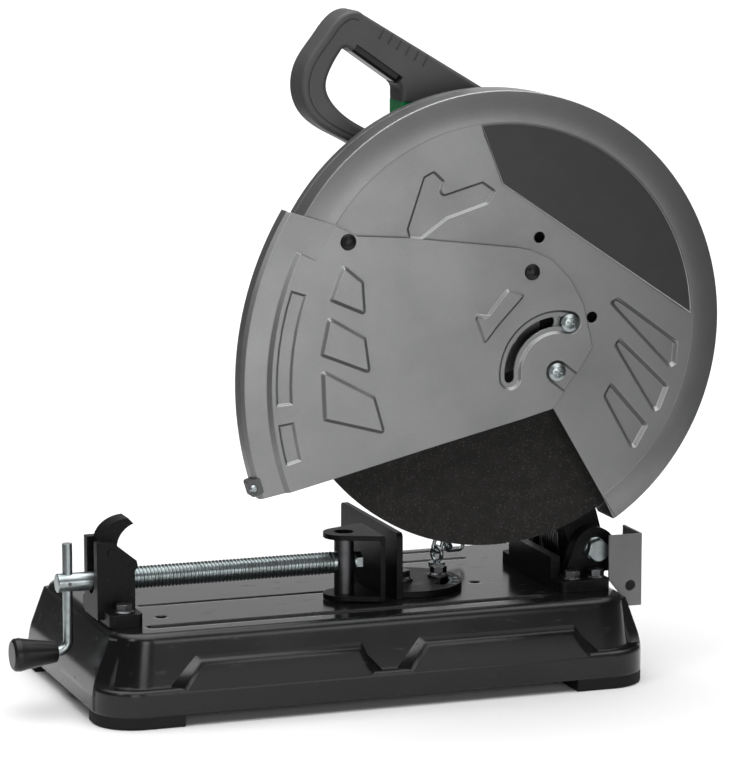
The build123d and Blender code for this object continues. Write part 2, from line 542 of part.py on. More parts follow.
# Motor housing with the saddle that carries the handle
housing = ycyl(MX, MZ, MOTOR_R, COVER_PLATE_Y1, MOTOR_Y1)
housing = fillet(housing.faces().sort_by(Axis.Y)[-1].edges(), 3.0)
neck = poly((NECK_X, NECK_Z), (GX - 12.0, NECK_Z), (GX, GZ + 18.0), (GX, GZ - 18.0), (112.0, MZ + 44.0),
            (80.0, MZ + 44.0), (NECK_X, 408.0))
neck = fillet(neck.vertices().filter_by(lambda v: v.X > 130), 8.0)
saddle = prism(neck, GRIP_Y - GRIP_HALF + 1, GRIP_Y + GRIP_HALF - 1)
saddle = fillet(saddle.edges().filter_by(Axis.Y).filter_by(lambda e: e.center().Z < 430), 5.0)
FAIR_Y = (GRIP_Y, 44.0)
ends = []
for y, x0, x1, z0, z1 in ((FAIR_Y[0], 54.0, GX - 4.0, MZ + 40.0, GZ + 18.0),
                          (FAIR_Y[1], 78.0, 118.0, MZ + 30.0, MZ + 54.0)):
    plan = Pos((x0 + x1) / 2, (z0 + z1) / 2) * RectangleRounded(x1 - x0, z1 - z0, 9.0)
    ends.append(Plane(origin=(0, y, 0), x_dir=(1, 0, 0), z_dir=(0, -1, 0)) * plan)
saddle = saddle + loft(ends)
saddle = saddle - ycyl(MX, MZ, MOTOR_R + 0.3, -60.0, COVER_PLATE_Y1)
housing = housing + saddle
housing = housing - ycyl(MX, MZ, MOTOR_R - MOTOR_WALL, COVER_PLATE_Y1 - 1, 70.0)
housing = housing - ycyl(MX, MZ, MOTOR_R - 2 * MOTOR_WALL, 60.0, MOTOR_Y1 + 1)
for i in range(14):
    a = 200 + i * 10
    vent = Pos(*polar(MX, MZ, MOTOR_R, a)) * Rot(0, 0, a) * Rectangle(14.0, 3.4)
    housing = housing - prism(vent, 2.0, 8.0) - prism(vent, 76.0, 90.0)
BRUSH_Y = 82.0
housing = housing - xcyl(BRUSH_Y, MZ, 8.0, MX - 70, MX + 70)
keep("motor_housing", housing)
caps = []
for s in (-1, 1):
    x = sorted((MX + s * 45.0, MX + s * 54.0))
    cap = xcyl(BRUSH_Y, MZ, 8.0, x[0], x[1])
    edge = sorted((MX + s * 52.5, MX + s * 55.0))
    slot = box(edge[0], edge[1], BRUSH_Y - 6, BRUSH_Y + 6, MZ - 0.8, MZ + 0.8)
    caps.append(cap - slot)
keep("brush_caps", caps)
shell = turned_y(((0, MOTOR_Y1), (50.0, MOTOR_Y1), (50.0, 108.0), (46.0, 116.0), (38.0, CAP_Y1), (0, CAP_Y1)),
                 MX, MZ)
room = turned_y(((0, MOTOR_Y1 - 1), (46.0, MOTOR_Y1 - 1), (46.0, 106.0), (42.0, 113.0), (36.0, 116.0),
                 (0, 116.0)), MX, MZ)
shell = shell - (room - ring_y(MX, MZ, 17.0, 13.0, 98.0, 120.0))
for i in range(5):
    z = MZ - 24 + i * 12
    half = (32.0 ** 2 - (z - MZ) ** 2) ** 0.5
    for s in (-1, 1):
        xs = sorted((MX + s * 19.0, MX + s * max(half, 24.0)))
        shell = shell - box(xs[0], xs[1], 114.0, 122.0, z - 1.8, z + 1.8)
keep("motor_end_cap", shell)

# Motor inside
stator = ring_y(MX, MZ, MOTOR_R - MOTOR_WALL, 29.0, 14.0, 70.0)
keep("stator", stator)
armature = ycyl(MX, MZ, SHAFT_R, -54.0, 110.0)
armature = armature + ycyl(MX, MZ, 28.0, 16.0, 68.0) + ycyl(MX, MZ, 14.0, 72.0, 92.0)
keep("armature", armature)
keep("pinion", ring_y(MX, MZ, PINION_R - 0.2, SHAFT_R, -52.0, -32.0))
fan = ring_y(MX, MZ, 42.0, SHAFT_R, 0.0, 2.5) + ring_y(MX, MZ, 12.0, SHAFT_R, 0.0, 10.0)
for i in range(12):
    blade = Pos(MX, 0, MZ) * Rot(0, i * 30, 0) * box(11.0, 41.0, 2.0, 10.0, -1.0, 1.0)
    fan = fan + blade
keep("fan", fan)
keep("spindle_bearings", [ring_y(WX, WZ, BEARING_R, SPINDLE_R + RUN_FIT, CASE_Y0 + 5, CASE_Y0 + 15),
                          ring_y(WX, WZ, BEARING_R, SPINDLE_R + RUN_FIT, CASE_Y1 - 1, CASE_Y1 + 9)])
keep("armature_bearings", [ring_y(MX, MZ, ARM_BEARING_R, SHAFT_R + RUN_FIT, CASE_Y1 + 3, CASE_Y1 + 11),
                           ring_y(MX, MZ, 13.0, SHAFT_R + RUN_FIT, 99.0, 108.0)])

# Wheel spindle
FLANGE_R = 38.0
wheel_y0 = WY - WHEEL_T / 2
wheel_y1 = WY + WHEEL_T / 2
spindle = ycyl(WX, WZ, SPINDLE_R, wheel_y0 + 1, CASE_Y1 + 8) + ycyl(WX, WZ, 11.0, CASE_Y0 + 15.4, -51.0)
spindle = spindle - ycyl(WX, WZ, 4.0, wheel_y0 - 10, -70.0)
keep("spindle", spindle)
keep("driven_gear", ring_y(WX, WZ, GEAR_R - 0.2, SPINDLE_R, -51.0, -33.0))
inner = turned_y(((SPINDLE_R, -75.0), (16.0, -75.0), (20.0, -80.0), (FLANGE_R, -84.0), (FLANGE_R, wheel_y1),
                  (WHEEL_BORE_R, wheel_y1), (WHEEL_BORE_R, wheel_y0 + 0.4), (SPINDLE_R, wheel_y0 + 0.4)),
                 WX, WZ)
keep("inner_flange", inner)
wheel = ycyl(WX, WZ, WHEEL_R, wheel_y0, wheel_y1) - ycyl(WX, WZ, WHEEL_BORE_R, wheel_y0 - 1, wheel_y1 + 1)
keep("abrasive_wheel", wheel)
outer = turned_y(((4.2, wheel_y0), (FLANGE_R, wheel_y0), (FLANGE_R, wheel_y0 - 3.5), (20.0, wheel_y0 - 6.5),
                  (4.2, wheel_y0 - 6.5)), WX, WZ)
keep("outer_flange", outer)
bolt = hex_y(WX, WZ, 13.0, -106.4, -101.0) + ycyl(WX, WZ, 9.5, -101.0, wheel_y0 - 6.5)
bolt = bolt + ycyl(WX, WZ, 4.0, -101.0, -71.0)
keep("wheel_bolt", bolt)

# Guard shells
kept = poly(*from_wheel(((45.2, -66.1), (103.0, -165.0), (140.0, -230.0), (260.0, -230.0), (260.0, 260.0),
                         (-260.0, 260.0), (-260.0, -22.0), (-150.0, -30.0))))
rim_y = GUARD_FACE_Y + 4.6
dish = ((GUARD_R, GUARD_SEAM_Y), (GUARD_R, rim_y + 1.5), (GUARD_R - 1.5, rim_y), (GUARD_FACE_R, GUARD_FACE_Y),
        (0, GUARD_FACE_Y), (0, GUARD_FACE_Y + GUARD_T), (GUARD_FACE_R, GUARD_FACE_Y + GUARD_T),
        (GUARD_R - GUARD_T, rim_y + GUARD_T), (GUARD_R - GUARD_T, GUARD_SEAM_Y))
guard = turned_y(dish, WX, WZ) & prism(kept, -130.0, -60.0)


STAMP_LEAN = 45


def raised(points, radius, y, height, lean=STAMP_LEAN):
    """Stamped pad with sloping sides, drawn from the wheel centre."""
    face = fillet(poly(*from_wheel(points)).vertices(), radius)
    plane = Plane(origin=(0, y, 0), x_dir=(1, 0, 0), z_dir=(0, -1, 0))
    return extrude(plane * face, height, taper=lean)


def sunk(plate, face, y, depth, lean=STAMP_LEAN):
    """Press a pocket with sloping sides into a sheet whose face is at y, keeping the sheet's thickness."""
    mirrored = Plane(origin=(0, y, 0), x_dir=(1, 0, 0), z_dir=(0, -1, 0)) * face
    swell = prism(offset(face, 1.0), y + 0.5, y + depth + GUARD_T)
    pocket = extrude(mirrored, -depth, taper=lean)
    return plate + swell - pocket


ARROW = ((-80.0, 84.0), (-66.0, 125.0), (-57.0, 129.5), (-48.0, 121.0), (-51.5, 109.5), (-16.0, 119.5),
         (-4.5, 111.5), (-11.5, 101.0), (-45.5, 90.5), (-67.0, 75.5), (-78.0, 76.5))
RIBS = (((92.5, 17.0), (100.5, 21.8), (153.5, -17.0), (152.0, -36.0), (146.0, -39.0)),
        ((97.0, -17.5), (102.5, -11.3), (146.0, -53.5), (138.2, -72.1), (132.5, -74.4)),
        ((88.0, -58.6), (95.0, -47.0), (128.0, -84.6), (117.6, -102.2), (112.8, -102.8)))
guard = sunk(guard, fillet(poly(*from_wheel(ARROW)).vertices(), 2.4), GUARD_FACE_Y, 2.0)
for rib in RIBS:
    guard = sunk(guard, fillet(poly(*from_wheel(rib)).vertices(), 2.0), GUARD_FACE_Y, 3.0)
LABEL_R = GUARD_FACE_R - 8.1
LABEL_DEPTH = 0.8


def label_plan(shrink):
    """Label field between the band and two straight edges, drawn from the wheel centre."""
    a, b, c = from_wheel(((-15.5 + shrink, 156.5 - shrink), (1.5 + shrink, 118.5 + shrink),
                          (157.0 - shrink, 9.5 + shrink)))
    mid = polar(WX, WZ, LABEL_R - shrink, 49.6)
    return make_face(Polyline(a, b, c) + ThreePointArc(c, mid, a))


guard = guard - prism(label_plan(0), GUARD_FACE_Y - 1, GUARD_FACE_Y + LABEL_DEPTH)
GUARD_HOLES = ((32.2, 72.6), (78.0, 6.2))
SLOT_SCREW = polar(PIVOT_DX, PIVOT_DZ, SLOT_R, SLOT_A0)
COVER_SCREW_R = 3.6
SINK = 2.0
for x, z in from_wheel(GUARD_HOLES):
    guard = guard - ycyl(x, z, 4.6, -130.0, -100.0)
for x, z in ((PIVOT_DX, PIVOT_DZ), SLOT_SCREW):
    guard = guard - ycyl(WX + x, WZ + z, COVER_SCREW_R, -130.0, -100.0)
WINDOW_A = SLOT_A0 + 24.0
window = CenterArc((WX + PIVOT_DX, WZ + PIVOT_DZ), SLOT_R, WINDOW_A, SLOT_A1 - WINDOW_A)
guard = guard - prism(SlotArc(window, 2 * COVER_SCREW_R + 4.0), -130.0, -100.0)
keep("fixed_guard", guard)
keep("guard_label", prism(label_plan(0.6), GUARD_FACE_Y + 0.25, GUARD_FACE_Y + LABEL_DEPTH))
back = turned_y(((60.0, GUARD_BACK_Y), (GUARD_R, GUARD_BACK_Y), (GUARD_R, GUARD_SEAM_Y),
                 (GUARD_R - GUARD_T, GUARD_SEAM_Y), (GUARD_R - GUARD_T, GUARD_BACK_Y - GUARD_T),
                 (60.0, GUARD_BACK_Y - GUARD_T)), WX, WZ)
back = back & prism(kept, -130.0, -60.0)
hub = ring_y(WX, WZ, 62.0, 24.0, GUARD_BACK_Y - GUARD_T, GUARD_BACK_Y)
for x, z in GUARD_SCREWS:
    hub = hub - ycyl(WX + x, WZ + z, 2.5, -90.0, -60.0)
keep("rear_guard", back + hub)
screws = []
for x, z in GUARD_SCREWS:
    shaft = ycyl(WX + x, WZ + z, 2.5, GUARD_BACK_Y - 3, GUARD_BACK_Y + 10)
    screws.append(shaft + ycyl(WX + x, WZ + z, 4.5, GUARD_BACK_Y - GUARD_T - 2.6, GUARD_BACK_Y - GUARD_T))
keep("guard_screws", screws)

# Swinging cover and its two screws
PX = WX + PIVOT_DX
PZ = WZ + PIVOT_DZ
STEP = 3.4
DROP = 6.6
rim = ((0, COVER_Y), (COVER_STEP_R - STEP, COVER_Y), (COVER_STEP_R, COVER_Y + STEP),
       (COVER_R - 3, COVER_Y + DROP), (COVER_R, COVER_Y + DROP + 3), (COVER_R, COVER_RIM_Y),
       (COVER_R - COVER_T, COVER_RIM_Y),
       (COVER_R - COVER_T, COVER_Y + DROP + 3.6), (COVER_R - 3.6, COVER_Y + DROP + COVER_T),
       (COVER_STEP_R - 0.8, COVER_Y + STEP + COVER_T), (COVER_STEP_R - STEP - 0.8, COVER_Y + COVER_T),
       (0, COVER_Y + COVER_T))
outline = from_wheel(((-300.0, 141.2), (-178.6, 102.3), (-140.1, 90.0), (-121.6, 80.7), (-80.5, 77.6),
                      (13.1, 65.5), (25.0, 62.6), (40.5, 55.4), (57.0, 38.6), (68.4, 17.9), (76.5, -17.3),
                      (64.1, -36.1), (51.7, -53.3), (42.8, -64.9), (14.9, -72.2), (-53.2, -88.2),
                      (-141.3, -109.9), (-300.0, -147.5)))
BAND_R = COVER_R - 38.0
BAND_A = 154.2
slope = ((0, COVER_Y), (BAND_R, COVER_Y)) + rim[3:9] + ((BAND_R, COVER_Y + COVER_T), (0, COVER_Y + COVER_T))
fill = ((BAND_R - 2, COVER_Y),) + rim[1:4]
fill = fill + ((COVER_R - 3, COVER_Y + DROP + COVER_T), (BAND_R - 2, COVER_Y + COVER_T))


def sector(a0, a1):
    """Wedge about the cover pivot between two angles."""
    corners = [(PX, PZ), polar(PX, PZ, 400.0, a0), polar(PX, PZ, 400.0, a1)]
    return prism(poly(*corners), -130.0, -80.0)


cover = turned_y(rim, PX, PZ) - sector(BAND_A - 20, BAND_A)
cover = cover + (turned_y(slope, PX, PZ) & sector(BAND_A - 20, BAND_A))
cover = cover + (turned_y(fill, PX, PZ) & sector(BAND_A - 0.2, BAND_A + 0.4))
cover = cover & prism(poly(*outline), -130.0, -80.0)
TRAPS = (((-135.6, 60.6), (-117.8, 45.6), (-115.8, 17.4), (-147.2, 31.2)),
         ((-148.0, 20.2), (-115.8, 1.1), (-111.6, -29.3), (-154.7, -11.8)),
         ((-153.9, -21.4), (-108.3, -46.2), (-99.1, -78.0), (-152.3, -63.5)))
SMALL_ARROW = ((-27.5, 17.0), (-16.0, 12.6), (2.0, 34.0), (18.5, 28.0), (-5.0, 3.5), (-16.6, -11.0))
for pad in TRAPS:
    cover = cover + raised(pad, 3.0, COVER_Y + 0.2, 3.0)
cover = cover + raised(SMALL_ARROW, 2.0, COVER_Y + 0.2, 2.2)


def arc_field(r0, r1, a0, a1):
    """Field between two arcs about the cover pivot."""
    count = 6
    inner = [polar(PX, PZ, r0, a0 + (a1 - a0) * i / count) for i in range(count + 1)]
    outer = [polar(PX, PZ, r1, a1 - (a1 - a0) * i / count) for i in range(count + 1)]
    return poly(*(inner + outer))


for a0, a1 in ((161.0, 183.5), (187.0, 195.2)):
    cover = sunk(cover, arc_field(COVER_STEP_R - 20.0, COVER_STEP_R - 6.5, a0, a1), COVER_Y, 2.0)
slot_arc = CenterArc((PX, PZ), SLOT_R, SLOT_A0, SLOT_A1 - SLOT_A0)
SEAT_R = 9.7
SEAT_A = -38.0
seat_at = Pos(*polar(PX, PZ, 20.0, SEAT_A)) * Rot(0, 0, SEAT_A)
seat = seat_at * SlotOverall(40.0 + 2 * SEAT_R, 2 * SEAT_R)
swollen = seat_at * SlotOverall(43.0 + 2 * SEAT_R, 2 * SEAT_R + 3.0)
TRACK_W = 19.0
back = prism(SlotArc(slot_arc, TRACK_W + 3.0), COVER_Y + 1, COVER_Y + COVER_T + SINK)
back = back + prism(swollen, COVER_Y + 1, COVER_Y + COVER_T + SINK)
cover = cover + (back & prism(poly(*outline), -130.0, -80.0))
front = Plane(origin=(0, COVER_Y, 0), x_dir=(1, 0, 0), z_dir=(0, -1, 0))
for field in (SlotArc(slot_arc, TRACK_W), seat):
    cover = cover - extrude(front * field, -SINK, taper=STAMP_LEAN)
cover = cover - prism(SlotArc(slot_arc, 2 * COVER_SCREW_R + 0.8), -130.0, -100.0)
cover = cover - ycyl(PX, PZ, COVER_SCREW_R + RUN_FIT, -130.0, -100.0)
BUTTONS = [polar(PX, PZ, COVER_R - 53.6, 147.5), polar(PX, PZ, 84.6, 105.15)]
for x, z in BUTTONS:
    cover = cover - ycyl(x, z, 3.0, -130.0, -100.0)
CLIP_A = 197.3
CLIP_OUT = 2.6
CLIP_SCREW_R = 1.6
CLIP_Y = COVER_Y + DROP - 1.6
sx, sz = polar(PX, PZ, COVER_R + CLIP_OUT, CLIP_A)
keep("guard_cover", cover)
buttons = []
for x, z in BUTTONS:
    dome = turned_y(((0, COVER_Y - 3.6), (3.0, COVER_Y - 3.2), (5.6, COVER_Y - 1.8), (6.6, COVER_Y),
                     (0, COVER_Y)), x, z)
    buttons.append(dome + ycyl(x, z, 3.0, COVER_Y - 1, COVER_Y + COVER_T + 0.6))
keep("cover_buttons", buttons)


def cover_screw(x, z):
    """Shouldered cross-head screw that holds the cover off the guard face."""
    y = COVER_Y + SINK
    head = turned_y(((0, y - 4.4), (4.6, y - 3.8), (7.2, y - 2.0), (7.2, y - 0.3), (0, y - 0.3)), x, z)
    for turn in (20, 110):
        head = head - Pos(x, y - 4.4, z) * Rot(0, turn, 0) * Box(7.0, 3.0, 1.4)
    spacer = ycyl(x, z, 8.0, y + COVER_T + 0.3, GUARD_FACE_Y)
    return head + spacer + ycyl(x, z, COVER_SCREW_R, y - 1, GUARD_FACE_Y + GUARD_T)


keep("cover_screws", [cover_screw(PX, PZ), cover_screw(WX + SLOT_SCREW[0], WZ + SLOT_SCREW[1])])
cx, cz = polar(PX, PZ, COVER_R + 0.6, CLIP_A)
clip = Pos(cx, CLIP_Y + 6.0, cz) * Rot(0, -CLIP_A, 0) * Box(10.4, 12.0, 13.0)
clip = fillet(clip.edges().filter_by(Axis.Y), 2.0) - cover
clip = clip - ycyl(sx, sz, CLIP_SCREW_R, -130.0, -80.0)
keep("rim_clip", clip.solids().sort_by(SortBy.VOLUME)[-1])
screw = ycyl(sx, sz, CLIP_SCREW_R, CLIP_Y - 1, CLIP_Y + 12.6)
head = ((0, CLIP_Y - 2.4), (2.2, CLIP_Y - 2.1), (3.2, CLIP_Y - 1.0), (3.2, CLIP_Y), (0, CLIP_Y))
screw = screw + turned_y(head, sx, sz)
for turn in (20, 110):
    screw = screw - Pos(sx, CLIP_Y - 2.4, sz) * Rot(0, turn, 0) * Box(4.0, 2.0, 0.9)
keep("clip_screw", screw)

# Handle halves
T_DIR = (0.818, -0.575)
T_OUT = (0.575, 0.818)


def along(start, a, n):
    return (start[0] + T_DIR[0] * a + T_OUT[0] * n, start[1] + T_DIR[1] * a + T_OUT[1] * n)


T_START = (0.5, 515.9)
T_LEN = 44.0
T_THICK = 11.0
T_TRAVEL = 5.5

grip = make_face(Line((9.0, 545.5), (114.0, 482.2)) + Line((114.0, 482.2), (120.0, NECK_Z))
                 + Line((120.0, NECK_Z), (41.5, NECK_Z)) + Line((41.5, NECK_Z), (41.3, 482.0))
                 + ThreePointArc((41.3, 482.0), (40.6, 486.6), (37.5, 489.9))
                 + Line((37.5, 489.9), (-2.8, 518.2))
                 + ThreePointArc((-2.8, 518.2), (-6.6, 518.8), (-9.6, 516.2))
                 + Spline((-9.6, 516.2), (-18.4, 501.5), (-21.6, 488.4), (-13.4, 472.3), (17.0, 451.7),
                          (NECK_X, 437.0))
                 + Line((NECK_X, 437.0), (NECK_X, 416.0))
                 + Spline((NECK_X, 416.0), (20.0, 430.0), (-2.0, 443.6), (-24.7, 456.2), (-37.8, 469.6),
                          (-43.0, 488.0), (-39.5, 506.0), (-24.0, 528.6), (-14.0, 541.0), (-4.5, 547.4),
                          (3.0, 548.4), (9.0, 545.5)))
near = prism(grip, GRIP_Y - GRIP_HALF, GRIP_Y)
far = prism(grip, GRIP_Y, GRIP_Y + GRIP_HALF)


def soft(edge):
    """Edges that are rounded: all but those on the saddle."""
    return not (abs(edge.center().Z - NECK_Z) < 0.5 or abs(edge.center().X - NECK_X) < 0.3)


near = fillet(near.faces().sort_by(Axis.Y)[0].edges().filter_by(soft), 4.0)
far = fillet(far.faces().sort_by(Axis.Y)[-1].edges().filter_by(soft), 4.0)
T_HALF = 12.0
T_OPEN = 6.5
pocket = prism(poly(along(T_START, -0.9, -9), along(T_START, T_LEN + 2.4, -9),
                    along(T_START, T_LEN + 2.4, T_OPEN), along(T_START, -0.9, T_OPEN)), -60.0, 0.0)
inside = poly(along(T_START, -0.9, 0), along(T_START, T_LEN + 2.4, 0),
              along(T_START, T_LEN + 2.4, T_THICK + T_TRAVEL), along(T_START, -0.9, T_THICK + 0.9))
pocket = pocket + prism(inside, GRIP_Y - T_HALF - 0.5, GRIP_Y + T_HALF + 0.5)
EAR = 4.0
pocket = pocket + prism(poly(along(T_START, -0.9, 9), along(T_START, 12.0, 9), along(T_START, 12.0, 21.0),
                             along(T_START, -0.9, 21.0)), GRIP_Y - EAR - 0.5, GRIP_Y + EAR + 0.5)
T_PIN = along(T_START, 5.0, 15.0)
T_PIN_R = 1.8
SWITCH = box(54.0, 76.0, GRIP_Y - 7, GRIP_Y + 7, 481.0, 499.0)
LOCK_BTN = (93.0, 483.5)
LOCK_BTN_R = 6.0
HANDLE_SCREWS = ((4.0, 533.0), (-31.0, 492.0), (22.0, 439.5), (106.0, 480.5))
cuts = pocket + SWITCH + ycyl(T_PIN[0], T_PIN[1], T_PIN_R, GRIP_Y - 10, GRIP_Y + 10)
for x, z in HANDLE_SCREWS:
    cuts = cuts + ycyl(x, z, 1.8, GRIP_Y - 10, 0.0)
near = near - cuts
far = far - cuts - ycyl(LOCK_BTN[0], LOCK_BTN[1], LOCK_BTN_R + RUN_FIT, GRIP_Y + 2, 0.0)
rim_line = Spline((22.5, 435.6), (1.0, 448.8), (-20.8, 461.0), (-32.3, 472.4), (-37.0, 488.0), (-33.9, 503.4),
                  (-19.3, 524.9), (-9.9, 536.6), (-2.2, 541.6), (5.0, 540.6))
line = trace(rim_line, 1.3)
near = near - prism(line, GRIP_Y - GRIP_HALF - 1, GRIP_Y - GRIP_HALF + 0.9)
far = far - prism(line, GRIP_Y + GRIP_HALF - 0.9, GRIP_Y + GRIP_HALF + 1)
for i in range(6):
    cx, cz = 24.0 + 7.4 * i, 529.5 - 4.5 * i
    near = near - Pos(cx, GRIP_Y - GRIP_HALF, cz) * Rot(0, -59, 0) * Box(9.0, 2.0, 1.6)
keep("handle_near", near)
keep("handle_far", far)
screws = []
for x, z in HANDLE_SCREWS:
    shaft = ycyl(x, z, 1.8, GRIP_Y - 10, GRIP_Y + GRIP_HALF)
    screws.append(shaft + ycyl(x, z, 3.4, GRIP_Y + GRIP_HALF, GRIP_Y + GRIP_HALF + 2))
keep("handle_screws", screws)
keep("trigger_pin", ycyl(T_PIN[0], T_PIN[1], T_PIN_R, GRIP_Y - 10, GRIP_Y + 10))
bar = poly(T_START, along(T_START, T_LEN, 0), along(T_START, T_LEN, T_THICK), along(T_START, 0, T_THICK))
trigger = prism(bar, GRIP_Y - T_HALF, GRIP_Y + T_HALF)
trigger = fillet(trigger.edges().filter_by(lambda e: e.length > 40), 3.0)
trigger = trigger + prism(poly(along(T_START, 0, 8), along(T_START, 10, 8), along(T_START, 10, 19),
                               along(T_START, 0, 19)), GRIP_Y - EAR, GRIP_Y + EAR)
trigger = trigger - ycyl(T_PIN[0], T_PIN[1], T_PIN_R + RUN_FIT, -60.0, 0.0)
keep("trigger", trigger)
button = ycyl(LOCK_BTN[0], LOCK_BTN[1], LOCK_BTN_R, GRIP_Y + 6, GRIP_Y + GRIP_HALF + 4.5)
button = fillet(button.faces().sort_by(Axis.Y)[-1].edges(), 1.2)
keep("lock_button", button)
keep("switch_block", SWITCH)

# Cord gland, its bore is left open
gland = turned_x(((4.2, GX), (9.0, GX), (9.0, GX + 5), (7.6, GX + 7), (6.4, GX + 25), (4.2, GX + 25)),
                 GRIP_Y, GZ)
keep("cord_gland", gland)

for name, shape in NODES.items():
    export_step(shape, "parts/" + name + ".step")
print(len(NODES), "nodes")
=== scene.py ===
"""Looks of a metal cut-off saw: finishes for every solid, fine pieces, studio and camera.

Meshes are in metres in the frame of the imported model: X runs from the crank to the hinge, Y from the wheel side to
the motor side, Z is up and the floor is at zero. Sizes of pieces are written in millimetres, as they are drawn, and
mm() turns them into metres. The studio's lights and distances are in metres.
"""

from __future__ import annotations

import json
import logging
import math
from dataclasses import dataclass
from enum import Enum
from typing import Any, Sequence, Union

import bmesh
import bpy
from mathutils import Matrix, Vector

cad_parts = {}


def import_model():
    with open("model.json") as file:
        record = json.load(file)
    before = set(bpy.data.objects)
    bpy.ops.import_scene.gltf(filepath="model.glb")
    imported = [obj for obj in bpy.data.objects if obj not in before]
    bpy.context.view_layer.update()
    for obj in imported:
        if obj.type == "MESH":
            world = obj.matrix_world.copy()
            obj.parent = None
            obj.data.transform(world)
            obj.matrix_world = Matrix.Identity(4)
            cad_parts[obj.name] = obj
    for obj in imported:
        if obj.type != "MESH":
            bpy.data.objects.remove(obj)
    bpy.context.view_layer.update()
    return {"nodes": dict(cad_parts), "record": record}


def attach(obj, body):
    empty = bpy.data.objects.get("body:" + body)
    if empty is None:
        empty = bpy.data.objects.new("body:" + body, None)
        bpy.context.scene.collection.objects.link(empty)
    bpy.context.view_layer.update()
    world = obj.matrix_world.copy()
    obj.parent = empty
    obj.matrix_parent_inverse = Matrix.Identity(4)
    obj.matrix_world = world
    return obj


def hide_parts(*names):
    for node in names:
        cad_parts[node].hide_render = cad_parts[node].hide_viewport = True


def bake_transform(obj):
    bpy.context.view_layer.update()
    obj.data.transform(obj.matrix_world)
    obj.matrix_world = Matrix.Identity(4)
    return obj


LOG = logging.getLogger("saw")
Pair = tuple[float, float]
Triple = tuple[float, float, float]
Span = tuple[float, float, float, float]
RGB = Triple
Number = Union[float, "Sock"]

# Places in drawing millimetres: the frame's origin along X, the wheel's axis (X, Z), the hinge's axis, the fence's
# pivot (X, Y) and the angle of the fence's zero mark.
MIDDLE_X = 5.5
WHEEL = (104.0, 296.8)
HINGE = (205.0, 0.0, 103.0)
FENCE_PIVOT = (53.0, -20.0)
FENCE_ZERO_DEG = 8.0

# Distances in metres below which points are one, and below which an edge lies on a border.
MERGE = 1e-6
EDGE = 1e-4


def mm(x: float, y: float, z: float) -> Vector:
    """Point drawn in millimetres from the middle of the base.

    Args:
        x: Distance towards the hinge.
        y: Distance towards the motor.
        z: Height above the floor.

    Returns:
        The point in the model's frame, in metres.
    """
    return Vector(((x - MIDDLE_X) / 1000, y / 1000, z / 1000))


class Sock:
    """A node output that takes part in Python arithmetic."""

    def __init__(self, graph: Graph, out: bpy.types.NodeSocket) -> None:
        """Hold an output.

        Args:
            graph: Graph that new nodes go to.
            out: The node output.
        """
        self.graph = graph
        self.out = out

    def calc(self, operation: str, first: Number, second: Number) -> Sock:
        """Add one Math node.

        Args:
            operation: Name of the Math node's operation.
            first: Value or socket on the left.
            second: Value or socket on the right.

        Returns:
            The node's result.
        """
        made = self.graph.node("ShaderNodeMath", {"operation": operation}, {0: first, 1: second})
        return Sock(self.graph, made.outputs[0])

    def __add__(self, other: Number) -> Sock:
        """Sum.

        Args:
            other: Value or socket on the right.

        Returns:
            The sum.
        """
        return self.calc("ADD", self, other)

    def __radd__(self, other: Number) -> Sock:
        """Sum with a number on the left.

        Args:
            other: Value or socket on the left.

        Returns:
            The sum.
        """
        return self.calc("ADD", other, self)

    def __sub__(self, other: Number) -> Sock:
        """Difference.

        Args:
            other: Value or socket on the right.

        Returns:
            The difference.
        """
        return self.calc("SUBTRACT", self, other)

    def __rsub__(self, other: Number) -> Sock:
        """Difference from a number on the left.

        Args:
            other: Value or socket on the left.

        Returns:
            The difference.
        """
        return self.calc("SUBTRACT", other, self)

    def __mul__(self, other: Number) -> Sock:
        """Product.

        Args:
            other: Value or socket on the right.

        Returns:
            The product.
        """
        return self.calc("MULTIPLY", self, other)

    def __rmul__(self, other: Number) -> Sock:
        """Product with a number on the left.

        Args:
            other: Value or socket on the left.

        Returns:
            The product.
        """
        return self.calc("MULTIPLY", other, self)

    def band(self, low: float, high: float) -> Sock:
        """Smooth step.

        Args:
            low: Where the step starts, at 0.
            high: Where the step ends, at 1.

        Returns:
            A value from 0 to 1.
        """
        made = self.graph.node("ShaderNodeMapRange", {"interpolation_type": "SMOOTHSTEP"},
                               {0: self, 1: low, 2: high, 3: 0.0, 4: 1.0})
        return Sock(self.graph, made.outputs[0])


